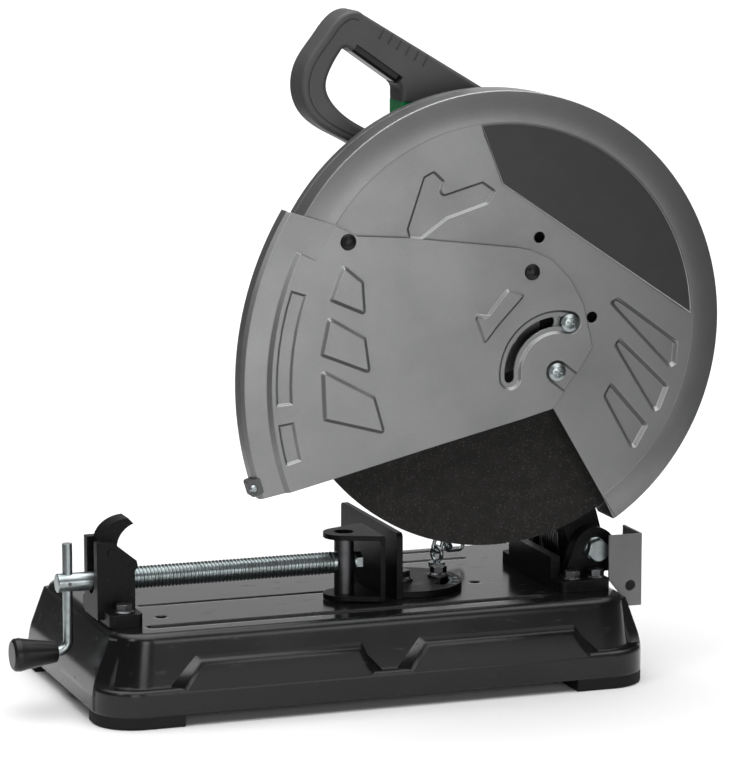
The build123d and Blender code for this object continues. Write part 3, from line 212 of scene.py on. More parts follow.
class Graph:
    """Node graph of one material or sky, around its shader."""

    def __init__(self, owner: bpy.types.Material | bpy.types.World, shader: str = "Principled BSDF",
                 place: str = "Object") -> None:
        """Start on a new material or world.

        Args:
            owner: What holds the graph.
            shader: Name of its shader node.
            place: Texture coordinate that its patterns lie on.
        """
        owner.use_nodes = True
        self.owner = owner
        self.tree = owner.node_tree
        self.shader = self.tree.nodes[shader]
        self.place = Sock(self, self.node("ShaderNodeTexCoord").outputs[place])
        self.normal: Sock | None = None

    @classmethod
    def named(cls, name: str) -> Graph:
        """Start on a new material.

        Args:
            name: Name of the material.

        Returns:
            Its graph.
        """
        return cls(bpy.data.materials.new(name))

    def node(self, kind: str, settings: dict[str, Any] | None = None,
             inputs: dict[int | str, Any] | None = None) -> bpy.types.Node:
        """Add a node.

        Args:
            kind: The node's type.
            settings: Attributes that are set first.
            inputs: Values or sockets for its inputs.

        Returns:
            The node.
        """
        made = self.tree.nodes.new(kind)
        for key, value in (settings or {}).items():
            setattr(made, key, value)
        for key, value in (inputs or {}).items():
            self.feed(made.inputs[key], value)
        return made

    def feed(self, socket: bpy.types.NodeSocket, value: Any) -> None:
        """Link or set an input.

        Args:
            socket: The input.
            value: Socket to link, or value to set.
        """
        if isinstance(value, Sock):
            self.tree.links.new(value.out, socket)
        else:
            socket.default_value = value

    def stretched(self, stretch: Triple) -> Sock:
        """Scale the coordinates.

        Args:
            stretch: Scale along each axis.

        Returns:
            The scaled coordinates.
        """
        made = self.node("ShaderNodeVectorMath", {"operation": "MULTIPLY"}, {0: self.place, 1: stretch})
        return Sock(self, made.outputs[0])

    def axis(self, name: str) -> Sock:
        """Take one coordinate.

        Args:
            name: X, Y or Z.

        Returns:
            That coordinate.
        """
        return Sock(self, self.node("ShaderNodeSeparateXYZ", None, {0: self.place}).outputs[name])

    def toward(self, way: Vector) -> Sock:
        """Compare the place, taken as a direction, with a way.

        Args:
            way: Unit vector.

        Returns:
            Cosine of the angle between the two.
        """
        made = self.node("ShaderNodeVectorMath", {"operation": "DOT_PRODUCT"}, {0: self.place, 1: tuple(way)})
        return Sock(self, made.outputs["Value"])

    def noise(self, size: float, detail: float = 3.0, stretch: Triple = (1, 1, 1)) -> Sock:
        """Cloudy noise.

        Args:
            size: Size of its lumps in millimetres.
            detail: Number of finer layers.
            stretch: Scale of the coordinates along each axis.

        Returns:
            A value around 0.5.
        """
        made = self.node("ShaderNodeTexNoise", None,
                         {"Vector": self.stretched(stretch), "Scale": 1000 / size, "Detail": detail})
        return Sock(self, made.outputs[0])

    def cells(self, size: float, output: str = "Distance") -> Sock:
        """Random cells.

        Args:
            size: How far apart they are, in millimetres.
            output: Name of the texture's output.

        Returns:
            That output.
        """
        made = self.node("ShaderNodeTexVoronoi", None, {"Vector": self.place, "Scale": 1000 / size})
        return Sock(self, made.outputs[output])

    def tones(self, size: float) -> Sock:
        """Random tone for each cell.

        Args:
            size: How far apart the cells are, in millimetres.

        Returns:
            A value from 0 to 1.
        """
        colour = self.cells(size, "Color")
        return Sock(self, self.node("ShaderNodeSeparateColor", None, {0: colour}).outputs[0])

    def mix(self, share: Number, first: RGB | Sock, second: RGB | Sock) -> Sock:
        """Blend two colours.

        Args:
            share: 0 for the first colour, 1 for the second.
            first: Colour or socket.
            second: Colour or socket.

        Returns:
            The blended colour.
        """
        pair = [c if isinstance(c, Sock) else (*c, 1.0) for c in (first, second)]
        made = self.node("ShaderNodeMix", {"data_type": "RGBA"}, {0: share, 6: pair[0], 7: pair[1]})
        return Sock(self, made.outputs[2])

    def edges(self, radius: float) -> Sock:
        """Round the sharp edges in the shading, and find them.

        Args:
            radius: Radius of the rounding in millimetres.

        Returns:
            About 0 on flat faces, more towards edges.
        """
        made = self.node("ShaderNodeBevel", {"samples": 4}, {"Radius": radius / 1000})
        self.normal = Sock(self, made.outputs[0])
        flat = Sock(self, self.node("ShaderNodeNewGeometry").outputs["Normal"])
        same = self.node("ShaderNodeVectorMath", {"operation": "DOT_PRODUCT"}, {0: self.normal, 1: flat})
        return 1 - Sock(self, same.outputs["Value"])

    def creases(self, reach: float) -> Sock:
        """Find the creases.

        Args:
            reach: How far a facing wall counts, in millimetres.

        Returns:
            About 0 on open faces, more towards creases.
        """
        made = self.node("ShaderNodeAmbientOcclusion", {"samples": 8}, {"Distance": reach / 1000})
        return 1 - Sock(self, made.outputs["AO"])

    def upward(self) -> Sock:
        """Find how far the surface faces up.

        Returns:
            1 on top of things, 0 on upright walls, -1 underneath.
        """
        normal = Sock(self, self.node("ShaderNodeNewGeometry").outputs["Normal"])
        return Sock(self, self.node("ShaderNodeSeparateXYZ", None, {0: normal}).outputs["Z"])

    def bump(self, height: Sock, depth: float) -> None:
        """Raise the surface.

        Args:
            height: Height field from 0 to 1.
            depth: Height of 1, in millimetres.
        """
        inputs: dict[int | str, Any] = {"Height": height, "Distance": depth / 1000, "Strength": 1.0}
        if self.normal is not None:
            inputs["Normal"] = self.normal
        self.normal = Sock(self, self.node("ShaderNodeBump", None, inputs).outputs["Normal"])

    def surface(self, **sockets: Any) -> bpy.types.Material:
        """Set the shader.

        Args:
            sockets: Values or sockets by input name, with _ for a space.

        Returns:
            The material.
        """
        for key, value in sockets.items():
            if isinstance(value, tuple):
                value = (*value, 1.0)
            self.feed(self.shader.inputs[key.replace("_", " ")], value)
        if self.normal is not None:
            self.feed(self.shader.inputs["Normal"], self.normal)
        return self.owner


@dataclass(frozen=True)
class Enamel:
    """Gloss enamel on pressed sheet, with orange peel, dust, fine scuffs and a painted highlight along its edges."""

    base: RGB = (0.0045, 0.0045, 0.005)
    # Colour of dust and scuffs, and also of the painted highlight along the edges.
    dust: RGB = (0.030, 0.030, 0.029)
    rough: float = 0.15
    shine: float = 0.36
    cloud_size: float = 60.0
    scuff_size: float = 5.0
    peel_size: float = 2.6
    peel_depth: float = 0.018
    edge: float = 3.2

    def build(self, name: str) -> bpy.types.Material:
        """Make the material.

        Args:
            name: Its name.

        Returns:
            The material.
        """
        g = Graph.named(name)
        clouds = g.noise(self.cloud_size, 4.0)
        scuffs = g.noise(self.scuff_size, 5.0, (0.25, 1.0, 1.0)).band(0.60, 0.74)
        # Painted highlight: the edges are drawn towards the lighter dust colour.
        edge_highlight = g.edges(self.edge).band(0.02, 0.30)
        g.bump(g.noise(self.peel_size, 2.0), self.peel_depth)
        colour = g.mix(clouds.band(0.45, 0.8) * 0.25 + scuffs * 0.12 + edge_highlight * 0.8, self.base, self.dust)
        return g.surface(Base_Color=colour, Roughness=self.rough + clouds * 0.08 + scuffs * 0.12,
                         Specular_IOR_Level=self.shine)


@dataclass(frozen=True)
class CastPaint:
    """Black paint on a rough casting or thick plate, with rubbed patches, painted glints on specks of its grain and
    a painted highlight along its edges.
    """

    base: RGB = (0.0022, 0.0022, 0.0024)
    # Colour of rubbed wear, and also of the painted glints and the painted edge highlight.
    worn: RGB = (0.030, 0.029, 0.028)
    rough: float = 0.36
    pebble: float = 1.5
    depth: float = 0.12
    shine: float = 0.15
    rub_size: float = 14.0
    swell_size: float = 9.0
    speck_size: float = 1.7
    patch_size: float = 4.0
    edge: float = 0.7

    def build(self, name: str) -> bpy.types.Material:
        """Make the material.

        Args:
            name: Its name.

        Returns:
            The material.
        """
        g = Graph.named(name)
        grain = g.noise(self.pebble, 3.0)
        rubbed = g.noise(self.rub_size, 5.0).band(0.58, 0.78)
        # Painted highlight along the edges.
        edge_highlight = g.edges(self.edge).band(0.04, 0.35)
        g.bump(grain, self.depth)
        g.bump(g.noise(self.swell_size, 1.0), self.depth)
        # Painted glints: specks in patches made lighter and smoother, standing in for light caught by the grain.
        specks = 1 - g.cells(self.speck_size).band(0.10, 0.24)
        painted_glints = specks * g.noise(self.patch_size, 2.0).band(0.45, 0.62)
        colour = g.mix(rubbed * 0.16 + grain * 0.06 + edge_highlight * grain * 0.9 + painted_glints * 2.2, self.base, self.worn)
        return g.surface(Base_Color=colour, Roughness=self.rough - rubbed * 0.10 + grain * 0.12 - painted_glints * 0.15,
                         Specular_IOR_Level=self.shine)


@dataclass(frozen=True)
class Plated:
    """Plated or bare steel with cloudy tint and fine turning marks."""

    base: RGB = (0.36, 0.40, 0.405)
    tint: RGB = (0.21, 0.23, 0.22)
    rough: float = 0.20
    lines: Triple = (1.0, 1.0, 1.0)
    cloud_size: float = 7.0
    mark_size: float = 0.5
    mark_depth: float = 0.010
    edge: float = 0.3

    def build(self, name: str) -> bpy.types.Material:
        """Make the material.

        Args:
            name: Its name.

        Returns:
            The material.
        """
        g = Graph.named(name)
        clouds = g.noise(self.cloud_size, 4.0)
        marks = g.noise(self.mark_size, 2.0, self.lines)
        g.edges(self.edge)
        g.bump(marks, self.mark_depth)
        colour = g.mix(clouds.band(0.45, 0.75) * 0.6, self.base, self.tint)
        return g.surface(Base_Color=colour, Metallic=1.0,
                         Roughness=self.rough + clouds * 0.12 + marks * 0.08)


@dataclass(frozen=True)
class Gunmetal:
    """Metallic grey paint on stamped sheet, with fine flake, painted shade in creases and on down-facing walls, and
    a painted highlight on upward-facing edges.
    """

    base: RGB = (0.272, 0.273, 0.275)
    deep: RGB = (0.182, 0.182, 0.184)
    # Colour of the painted highlight on upward-facing edges.
    bare: RGB = (0.70, 0.70, 0.70)
    # Colour of the painted shade in creases and on down-facing walls.
    grime: RGB = (0.012, 0.012, 0.012)
    rough: float = 0.36
    metal: float = 0.82
    flake_size: float = 0.45
    cloud_size: float = 45.0
    peel_size: float = 3.2
    peel_depth: float = 0.016
    # Reach of the painted crease shade, in millimetres.
    crease: float = 1.8
    edge: float = 1.2

    def build(self, name: str) -> bpy.types.Material:
        """Make the material.

        Args:
            name: Its name.

        Returns:
            The material.
        """
        g = Graph.named(name)
        flakes = g.tones(self.flake_size)
        clouds = g.noise(self.cloud_size, 3.0)
        # Painted shade: darker in creases, where facing walls close in.
        crease_shade = g.creases(self.crease).band(0.15, 0.60)
        up = g.upward()
        # Painted highlight: lighter along upward-facing edges outside the creases.
        edge_highlight = g.edges(self.edge).band(0.004, 0.06) * (1 - crease_shade) * up.band(-0.05, 0.40)
        # Painted shade: darker on walls that face down.
        under = (0 - up).band(0.08, 0.45)
        g.bump(g.noise(self.peel_size, 2.0), self.peel_depth)
        paint = g.mix(clouds.band(0.3, 0.8) * 0.35 + flakes * 0.22, self.base, self.deep)
        colour = g.mix(crease_shade * 0.35 + under * 0.6, g.mix(edge_highlight * 0.85, paint, self.bare), self.grime)
        return g.surface(Base_Color=colour, Metallic=self.metal, Coat_Weight=0.10, Coat_Roughness=0.25,
                         Roughness=self.rough + flakes * 0.08 + clouds * 0.06)


@dataclass(frozen=True)
class Moulded:
    """Moulded plastic or rubber with an eroded grain."""

    base: RGB = (0.075, 0.075, 0.076)
    shade: RGB = (0.095, 0.095, 0.096)
    rough: float = 0.44
    grain: float = 0.8
    depth: float = 0.035
    shine: float = 0.5
    cloud_size: float = 22.0
    edge: float = 0.5

    def build(self, name: str) -> bpy.types.Material:
        """Make the material.

        Args:
            name: Its name.

        Returns:
            The material.
        """
        g = Graph.named(name)
        grain = g.noise(self.grain, 2.0)
        clouds = g.noise(self.cloud_size, 3.0)
        g.edges(self.edge)
        g.bump(grain, self.depth)
        colour = g.mix(clouds.band(0.35, 0.75) * 0.6, self.base, self.shade)
        return g.surface(Base_Color=colour, Roughness=self.rough + grain * 0.08 + clouds * 0.08,
                         Specular_IOR_Level=self.shine)


@dataclass(frozen=True)
class Abrasive:
    """Resin bonded grit with a few pale specks."""

    base: RGB = (0.014, 0.0130, 0.0124)
    pale: RGB = (0.060, 0.057, 0.054)
    dark: RGB = (0.007, 0.0066, 0.0063)
    rough: float = 0.74
    shine: float = 0.25
    grit_size: float = 0.8
    grit_depth: float = 0.22
    fine_size: float = 0.5
    fine_depth: float = 0.08
    mottle_size: float = 9.0

    def build(self, name: str) -> bpy.types.Material:
        """Make the material.

        Args:
            name: Its name.

        Returns:
            The material.
        """
        g = Graph.named(name)
        tone = g.tones(self.grit_size)
        grit = g.cells(self.grit_size)
        mottle = g.noise(self.mottle_size, 4.0).band(0.40, 0.70)
        ground = g.mix(tone.band(0.0, 0.6), self.dark, self.base)
        colour = g.mix(tone.band(0.93, 0.98) * 0.8 + mottle * 0.10, ground, self.pale)
        g.bump(1 - grit, self.grit_depth)
        g.bump(g.noise(self.fine_size, 2.0), self.fine_depth)
        return g.surface(Base_Color=colour, Roughness=self.rough + tone * 0.16, Specular_IOR_Level=self.shine)


class Look(Enum):
    """Finishes by the record's material slot."""

    pan_black = Enamel()
    cast_black = CastPaint()
    alloy_black = CastPaint(rough=0.40, pebble=1.1, depth=0.09)
    zinc = Plated()
    dark_steel = Plated((0.105, 0.106, 0.110), (0.050, 0.050, 0.050), 0.26)
    machined_steel = Plated((0.5, 0.5, 0.5), (0.42, 0.41, 0.4), 0.26, (1.0, 0.05, 1.0))
    guard_grey = Gunmetal()
    # Its third colour is the painted highlight on upward-facing edges, its fourth the painted shade in creases and
    # on down-facing walls.
    spark_grey = Gunmetal((0.170, 0.170, 0.172), (0.13, 0.13, 0.132), (0.34, 0.34, 0.34), (0.02, 0.02, 0.02),
                          0.42, 0.55)
    label_dark = Moulded((0.026, 0.026, 0.027), (0.034, 0.034, 0.035), 0.38, 0.5, 0.006)
    green_plastic = Moulded((0.020, 0.330, 0.110), (0.016, 0.270, 0.090), 0.30, 0.9, 0.020)
    black_plastic = Moulded()
    trigger_plastic = Moulded((0.006, 0.006, 0.0064), (0.009, 0.009, 0.0095), 0.24, 0.6, 0.008, 0.25)
    rubber_black = Moulded((0.005, 0.005, 0.005), (0.009, 0.009, 0.0085), 0.62, 0.6, 0.050, 0.2)
    abrasive = Abrasive()
    winding = Plated((0.50, 0.24, 0.10), (0.30, 0.13, 0.06), 0.40, (1.0, 0.1, 1.0))
    bearing_steel = Plated((0.62, 0.62, 0.62), (0.55, 0.55, 0.55), 0.18)


# CAD nodes that wear another finish than that of their slot.
SPECIAL = {"crank_knob": Look.trigger_plastic, "cover_buttons": Look.trigger_plastic, "nut_pin": Look.cast_black}


class Paintbox:
    """Makes each finish once and hands it out by slot."""

    def __init__(self) -> None:
        """Start with no material made."""
        self.made: dict[str, bpy.types.Material] = {}

    def material(self, look: Look) -> bpy.types.Material:
        """Make a finish's material, or find it again.

        Args:
            look: The finish.

        Returns:
            Its material.
        """
        if look.name not in self.made:
            self.made[look.name] = look.value.build("finish_" + look.name)
        return self.made[look.name]

    def dress(self, piece: bpy.types.Object, look: Look) -> None:
        """Give a piece one finish all over.

        Args:
            piece: The object.
            look: Its finish.
        """
        piece.data.materials.clear()
        piece.data.materials.append(self.material(look))


@dataclass
class Bench:
    """Turns bmeshes into pieces of the saw."""

    paint: Paintbox

    def piece(self, name: str, mesh: bmesh.types.BMesh, body: str | None, look: Look,
              smooth_deg: float = 35.0, replaces: Sequence[str] = ()) -> bpy.types.Object:
        """Finish a mesh as a piece.

        Args:
            name: Name of the piece.
            mesh: Its shape, in place.
            body: The CAD body it rides on, or none for a piece that rides on no body.
            look: Its finish.
            smooth_deg: Edges flatter than this are shaded smooth.
            replaces: CAD nodes that it stands for.

        Returns:
            The object.
        """
        bmesh.ops.recalc_face_normals(mesh, faces=mesh.faces)
        for face in mesh.faces:
            face.smooth = True
        for edge in mesh.edges:
            edge.smooth = len(edge.link_faces) == 2 and edge.calc_face_angle(math.pi) < math.radians(smooth_deg)
        data = bpy.data.meshes.new(name)
        mesh.to_mesh(data)
        mesh.free()
        made = bpy.data.objects.new(name, data)
        bpy.context.scene.collection.objects.link(made)
        self.paint.dress(made, look)
        if body:
            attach(made, body)
        if replaces:
            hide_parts(*replaces)
        LOG.info("piece %s on %s", name, body or "two bodies")
        return made

    @staticmethod
    def turn(mesh: bmesh.types.BMesh, profile: Sequence[Pair], steps: int = 40) -> None:
        """Turn a profile about the X axis.

        Args:
            mesh: Mesh that takes the shape.
            profile: Points of (x, radius) in millimetres.
            steps: Number of sides.
        """
        points = [mesh.verts.new((x / 1000, 0.0, r / 1000)) for x, r in profile]
        edges = [mesh.edges.new(pair) for pair in zip(points, points[1:])]
        bmesh.ops.spin(mesh, geom=points + edges, cent=(0, 0, 0), axis=(1, 0, 0), angle=2 * math.pi, steps=steps,
                       use_merge=True)
        bmesh.ops.remove_doubles(mesh, verts=mesh.verts, dist=MERGE)

    @staticmethod
    def hexagon(mesh: bmesh.types.BMesh, flats: float, low: float, top: float) -> None:
        """Hexagon along the X axis whose corners at the top are cut by a cone.

        Args:
            mesh: Mesh that takes the shape.
            flats: Width across flats in millimetres.
            low: Plain end.
            top: Chamfered end.
        """
        round_r = flats / 2 * 0.97
        slope = math.tan(math.radians(30))
        way = math.copysign(1.0, top - low)
        rings = []
        for level in range(3):
            made = bmesh.ops.create_circle(mesh, segments=24, radius=1.0, cap_ends=level != 1)["verts"]
            for vert in made:
                angle = math.atan2(vert.co.y, vert.co.x)
                reach = flats / 2 / math.cos((angle + math.pi / 6) % (math.pi / 3) - math.pi / 6)
                cone = top - way * (reach - round_r) * slope
                x, r = ((low, reach), (cone, reach), (top, round_r))[level]
                vert.co = Vector((x, r * math.cos(angle), r * math.sin(angle))) / 1000
            rings.append({edge for vert in made for edge in vert.link_edges})
        for first, second in zip(rings, rings[1:]):
            bmesh.ops.bridge_loops(mesh, edges=list(first | second))

    @staticmethod
    def join(whole: bmesh.types.BMesh, part: bmesh.types.BMesh, place: Matrix) -> None:
        """Move a mesh to its place and add it to another.

        Args:
            whole: Mesh that grows.
            part: Mesh that is used up.
            place: Where the part goes.
        """
        bmesh.ops.transform(part, matrix=place, verts=part.verts)
        carrier = bpy.data.meshes.new("carrier")
        part.to_mesh(carrier)
        part.free()
        whole.from_mesh(carrier)
        bpy.data.meshes.remove(carrier)


@dataclass(frozen=True)
class BoltGroup:
    """Upright bolts of one CAD node, with their seat and places in millimetres."""

    node: str
    seat: float
    washer: float | None
    places: Sequence[Pair]


@dataclass
class Fasteners:
    """Hexagon bolts and nuts with chamfered corners, in place of their plain solids."""

    bench: Bench
    flats: float = 12.0
    shank: float = 4.0
    under_table: float = 71.2
    tip: float = 7.6
    nut_high: float = 6.4
    head_high: float = 7.0
    flange_r: float = 7.8
    flange_top_r: float = 6.6
    flange_high: float = 1.8
    washer_r: float = 9.0
    washer_high: float = 1.7
    chamfer: float = 0.6
    washer_soft: float = 0.2
    overlap: float = 0.1
    first_turn: float = 0.4
    next_turn: float = 0.31
    slot_reach: float = 34.0
    hinge_turn: float = 0.25
    hinge_bolt: Sequence[Pair] = ((-40.0, 0.0), (-40.0, 5.2), (-39.2, 6.0), (66.0, 6.0), (66.0, 9.8),
                                                 (66.5, 10.0), (67.8, 9.0), (67.8, 0.0))
    # Width across flats, plain end and chamfered end.
    hinge_head: Triple = (17.0, 67.6, 75.5)
    hinge_nut: Triple = (19.0, -28.0, -38.0)

    def groups(self) -> Sequence[BoltGroup]:
        """List the upright bolts.

        Returns:
            The bolts by CAD node.
        """
        turn = math.radians(FENCE_ZERO_DEG)
        slot = (FENCE_PIVOT[0] + self.slot_reach * math.cos(turn), FENCE_PIVOT[1] + self.slot_reach * math.sin(turn))
        return (BoltGroup("bracket_bolts", 83.2, None, ((-200.0, -76.5), (-200.0, -13.5))),
                BoltGroup("hinge_bracket_bolts", 82.2, None,
                          ((180.0, -77.0), (201.0, -77.0), (180.0, 36.0), (201.0, 36.0))),
                BoltGroup("fence_bolts", 80.15, 78.55, (FENCE_PIVOT, slot)))

    def upright(self, seat: float, washer: float | None) -> bmesh.types.BMesh:
        """Make a bolt along X with its nut.

        Args:
            seat: Height that its flange sits on, in millimetres.
            washer: Height of the washer's lower face, if it has one.

        Returns:
            Its mesh.
        """
        mesh = bmesh.new()
        low, end, neck = self.under_table, self.under_table - self.tip, seat + self.flange_high
        self.bench.turn(mesh, ((end, 0.0), (end, self.shank - self.chamfer), (end + self.chamfer, self.shank),
                               (seat, self.shank), (seat, self.flange_r),
                               (seat + self.chamfer, self.flange_r + self.overlap),
                               (neck, self.flange_top_r), (neck, 0.0)))
        self.bench.hexagon(mesh, self.flats, neck - self.overlap, seat + self.head_high)
        self.bench.hexagon(mesh, self.flats, low, low - self.nut_high)
        if washer:
            top, soft = washer + self.washer_high, self.washer_soft
            self.bench.turn(mesh, ((washer, self.shank), (washer, self.washer_r - soft),
                                   (washer + soft, self.washer_r), (top - soft, self.washer_r),
                                   (top, self.washer_r - soft), (top, self.shank)))
        return mesh

    def build(self) -> None:
        """Make all the bolts and put them in place."""
        for group in self.groups():
            whole = bmesh.new()
            for number, (x, y) in enumerate(group.places):
                turn = Matrix.Rotation(self.first_turn + self.next_turn * number, 4, "Z")
                spot = Matrix.Translation(mm(x, y, 0)) @ turn @ Matrix.Rotation(-math.pi / 2, 4, "Y")
                self.bench.join(whole, self.upright(group.seat, group.washer), spot)
            self.bench.piece(group.node + "_hex", whole, "base", Look.dark_steel, 25.0, (group.node,))
        lying = Matrix.Translation(mm(*HINGE)) @ Matrix.Rotation(self.hinge_turn, 4, "Y")
        lying = lying @ Matrix.Rotation(-math.pi / 2, 4, "Z")
        bolt, nut = bmesh.new(), bmesh.new()
        self.bench.turn(bolt, self.hinge_bolt)
        self.bench.hexagon(bolt, *self.hinge_head)
        self.bench.hexagon(nut, *self.hinge_nut)
        for name, part in (("hinge_bolt", bolt), ("hinge_nut", nut)):
            whole = bmesh.new()
            self.bench.join(whole, part, lying)
            self.bench.piece(name + "_hex", whole, "base", Look.zinc, 25.0, (name,))


@dataclass
class ReturnSpring:
    """Wound return spring, with one leg on the base and one on the arm."""

    bench: Bench
    x: float = HINGE[0]
    z: float = HINGE[2]
    radius: float = 18.0
    wire: float = 1.7
    turns: int = 7
    start_y: float = 7.0
    end_y: float = -28.0
    legs: Pair = (18.0, 26.0)
    steps: int = 36

    def build(self) -> None:
        """Wind the spring in place of its solid."""
        mesh = bmesh.new()
        ring = bmesh.ops.create_circle(mesh, segments=12, radius=self.wire / 1000, cap_ends=True)["verts"]
        bmesh.ops.translate(mesh, verts=ring, vec=(-self.radius / 1000, self.start_y / 1000, -self.legs[0] / 1000))
        last = self.leg(mesh, list(mesh.edges), self.legs[0])
        count = self.steps * self.turns
        lead = (self.end_y - self.start_y) / 1000 / count
        coil = bmesh.ops.spin(mesh, geom=last + list({v for e in last for v in e.verts}), cent=(0, 0, 0),
                              axis=(0, 1, 0), dvec=(0, lead, 0), angle=2 * math.pi * self.turns, steps=count)
        last = self.leg(mesh, [e for e in coil["geom_last"] if isinstance(e, bmesh.types.BMEdge)], self.legs[1])
        bmesh.ops.edgeloop_fill(mesh, edges=last)
        bmesh.ops.remove_doubles(mesh, verts=mesh.verts, dist=MERGE)
        bmesh.ops.translate(mesh, verts=mesh.verts, vec=mm(self.x, 0, self.z))
        made = self.bench.piece("return_spring_wound", mesh, None, Look.dark_steel, 50.0, ("return_spring",))
        mm(self.x, self.start_y, self.z)
        mm(self.x, self.end_y, self.z)
        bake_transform(made)

    @staticmethod
    def leg(mesh: bmesh.types.BMesh, edges: list[bmesh.types.BMEdge], length: float) -> list[bmesh.types.BMEdge]:
        """Draw a ring of edges upwards.

        Args:
            mesh: Mesh that takes the shape.
            edges: The ring.
            length: How far, in millimetres.

        Returns:
            The ring at the new end.
        """
        grown = bmesh.ops.extrude_edge_only(mesh, edges=edges)["geom"]
        ends = [v for v in grown if isinstance(v, bmesh.types.BMVert)]
        bmesh.ops.translate(mesh, verts=ends, vec=(0, 0, length / 1000))
        return [e for e in grown if isinstance(e, bmesh.types.BMEdge)]


@dataclass
class FenceScale:
    """Raised degree marks and numbers on the fence's swivel plate."""

    bench: Bench
    pivot: Pair = FENCE_PIVOT
    top: float = 78.4
    rise: float = 0.25
    inner: float = 39.3
    zero_deg: float = FENCE_ZERO_DEG
    last_deg: int = 45
    step_deg: int = 5
    long_deg: int = 15
    marks: Pair = (3.2, 1.9)
    mark_width: float = 0.45
    size: float = 4.2
    digit_gap: float = 7.0

    def build(self) -> None:
        """Make the marks and the numbers."""
        whole = bmesh.new()
        for degrees in range(0, self.last_deg + 1, self.step_deg):
            long = degrees % self.long_deg == 0
            mark = bmesh.new()
            bmesh.ops.create_cube(mark, size=0.001)
            length = self.marks[0] if long else self.marks[1]
            bmesh.ops.scale(mark, verts=mark.verts, vec=(length, self.mark_width, 2 * self.rise))
            bmesh.ops.translate(mark, verts=mark.verts, vec=((self.inner + length / 2) / 1000, 0, 0))
            self.bench.join(whole, mark, self.spot(degrees))
            if long:
                self.bench.join(whole, self.number(str(degrees)), self.spot(degrees))
        self.bench.piece("fence_scale", whole, "fence", Look.zinc, 25.0)

    def spot(self, degrees: float) -> Matrix:
        """Place a mark.

        Args:
            degrees: What the mark stands for.

        Returns:
            Frame at the pivot, turned to the mark.
        """
        turn = Matrix.Rotation(math.radians(self.zero_deg - degrees), 4, "Z")
        return Matrix.Translation(mm(*self.pivot, self.top)) @ turn

    def number(self, text: str) -> bmesh.types.BMesh:
        """Make digits that read from outside, beyond a mark.

        Args:
            text: The digits.

        Returns:
            Their mesh.
        """
        curve = bpy.data.curves.new("digits", "FONT")
        curve.body = text
        curve.size = self.size / 1000
        curve.extrude = self.rise / 1000
        curve.align_x = "CENTER"
        carrier = bpy.data.objects.new("digits", curve)
        data = bpy.data.meshes.new_from_object(carrier)
        mesh = bmesh.new()
        mesh.from_mesh(data)
        bpy.data.objects.remove(carrier)
        bpy.data.meshes.remove(data)
        bpy.data.curves.remove(curve)
        bmesh.ops.rotate(mesh, verts=mesh.verts, cent=(0, 0, 0), matrix=Matrix.Rotation(math.pi / 2, 3, "Z"))
        bmesh.ops.translate(mesh, verts=mesh.verts, vec=((self.inner + self.digit_gap) / 1000, 0, 0))
        return mesh


@dataclass
class Label:
    """Bare label plate with a pressed bead round it."""

    bench: Bench
    wheel: Pair = WHEEL
    face_y: float = -110.02
    arc: float = 164.6
    angles: Pair = (1.6, 96.2)
    corner: Pair = (0.2, 116.6)
    width: float = 1.1
    rise: float = 0.9
    plate: float = 0.3
    steps: int = 48

    def build(self) -> None:
        """Press the bead from the field's outline and leave the plate inside it."""
        mesh = bmesh.new()
        turns = [math.radians(self.angles[0] + (self.angles[1] - self.angles[0]) * i / self.steps)
                 for i in range(self.steps + 1)]
        outline = [(self.arc * math.cos(a), self.arc * math.sin(a)) for a in turns] + [self.corner]
        verts = [mesh.verts.new(mm(self.wheel[0] + x, self.face_y, self.wheel[1] + z)) for x, z in outline]
        inner = mesh.faces.new(verts)
        for rise in (self.rise, self.plate - self.rise):
            bmesh.ops.inset_region(mesh, faces=[inner], thickness=self.width / 1000, use_even_offset=True,
                                   use_boundary=True)
            bmesh.ops.translate(mesh, verts=inner.verts, vec=(0, -rise / 1000, 0))
        mesh.faces.index_update()
        plate = mesh.copy()
        plate.faces.index_update()
        bmesh.ops.delete(plate, geom=[f for f in plate.faces if f.index != inner.index], context="FACES")
        bmesh.ops.delete(mesh, geom=[inner], context="FACES_ONLY")
        self.bench.piece("label_bead", mesh, "arm", Look.guard_grey, 60.0)
        self.bench.piece("label_plate", plate, "arm", Look.label_dark, 30.0, ("guard_label",))


@dataclass
class GuardBand:
    """Crowned band round the near guard, over the flat cone of its solid."""

    bench: Bench
    wheel: Pair = WHEEL
    radii: Pair = (165.3, 189.95)
    face_y: float = -110.04
    fall: float = 4.9
    power: float = 1.8
    angles: Pair = (-57.5, 188.0)
    # Depth of the back behind the face: at the rim, inside the rim and at the inner edge.
    back: Sequence[float] = (6.2, 5.7, 0.8)
    sheet: float = 1.4
    points: int = 10
    steps: int = 110

    def build(self) -> None:
        """Turn the crowned profile about the wheel's axis."""
        mesh = bmesh.new()
        inner, outer = self.radii
        shares = [i / self.points for i in range(self.points + 1)]
        profile = [(inner + (outer - inner) * s, self.face_y + self.fall * s ** self.power) for s in shares]
        profile += [(r, self.face_y + y) for r, y in zip((outer, outer - self.sheet, inner), self.back)]
        start, end = (math.radians(a) for a in self.angles)
        loop = [mesh.verts.new(mm(self.wheel[0] + r * math.cos(start), y, self.wheel[1] + r * math.sin(start)))
                for r, y in profile]
        edges = [mesh.edges.new(pair) for pair in zip(loop, loop[1:] + loop[:1])]
        bmesh.ops.spin(mesh, geom=loop + edges, cent=mm(self.wheel[0], 0, self.wheel[1]), axis=(0, -1, 0),
                       angle=end - start, steps=self.steps)
        bmesh.ops.holes_fill(mesh, edges=[e for e in mesh.edges if e.is_boundary], sides=0)
        self.bench.piece("guard_band", mesh, "arm", Look.guard_grey, 40.0)


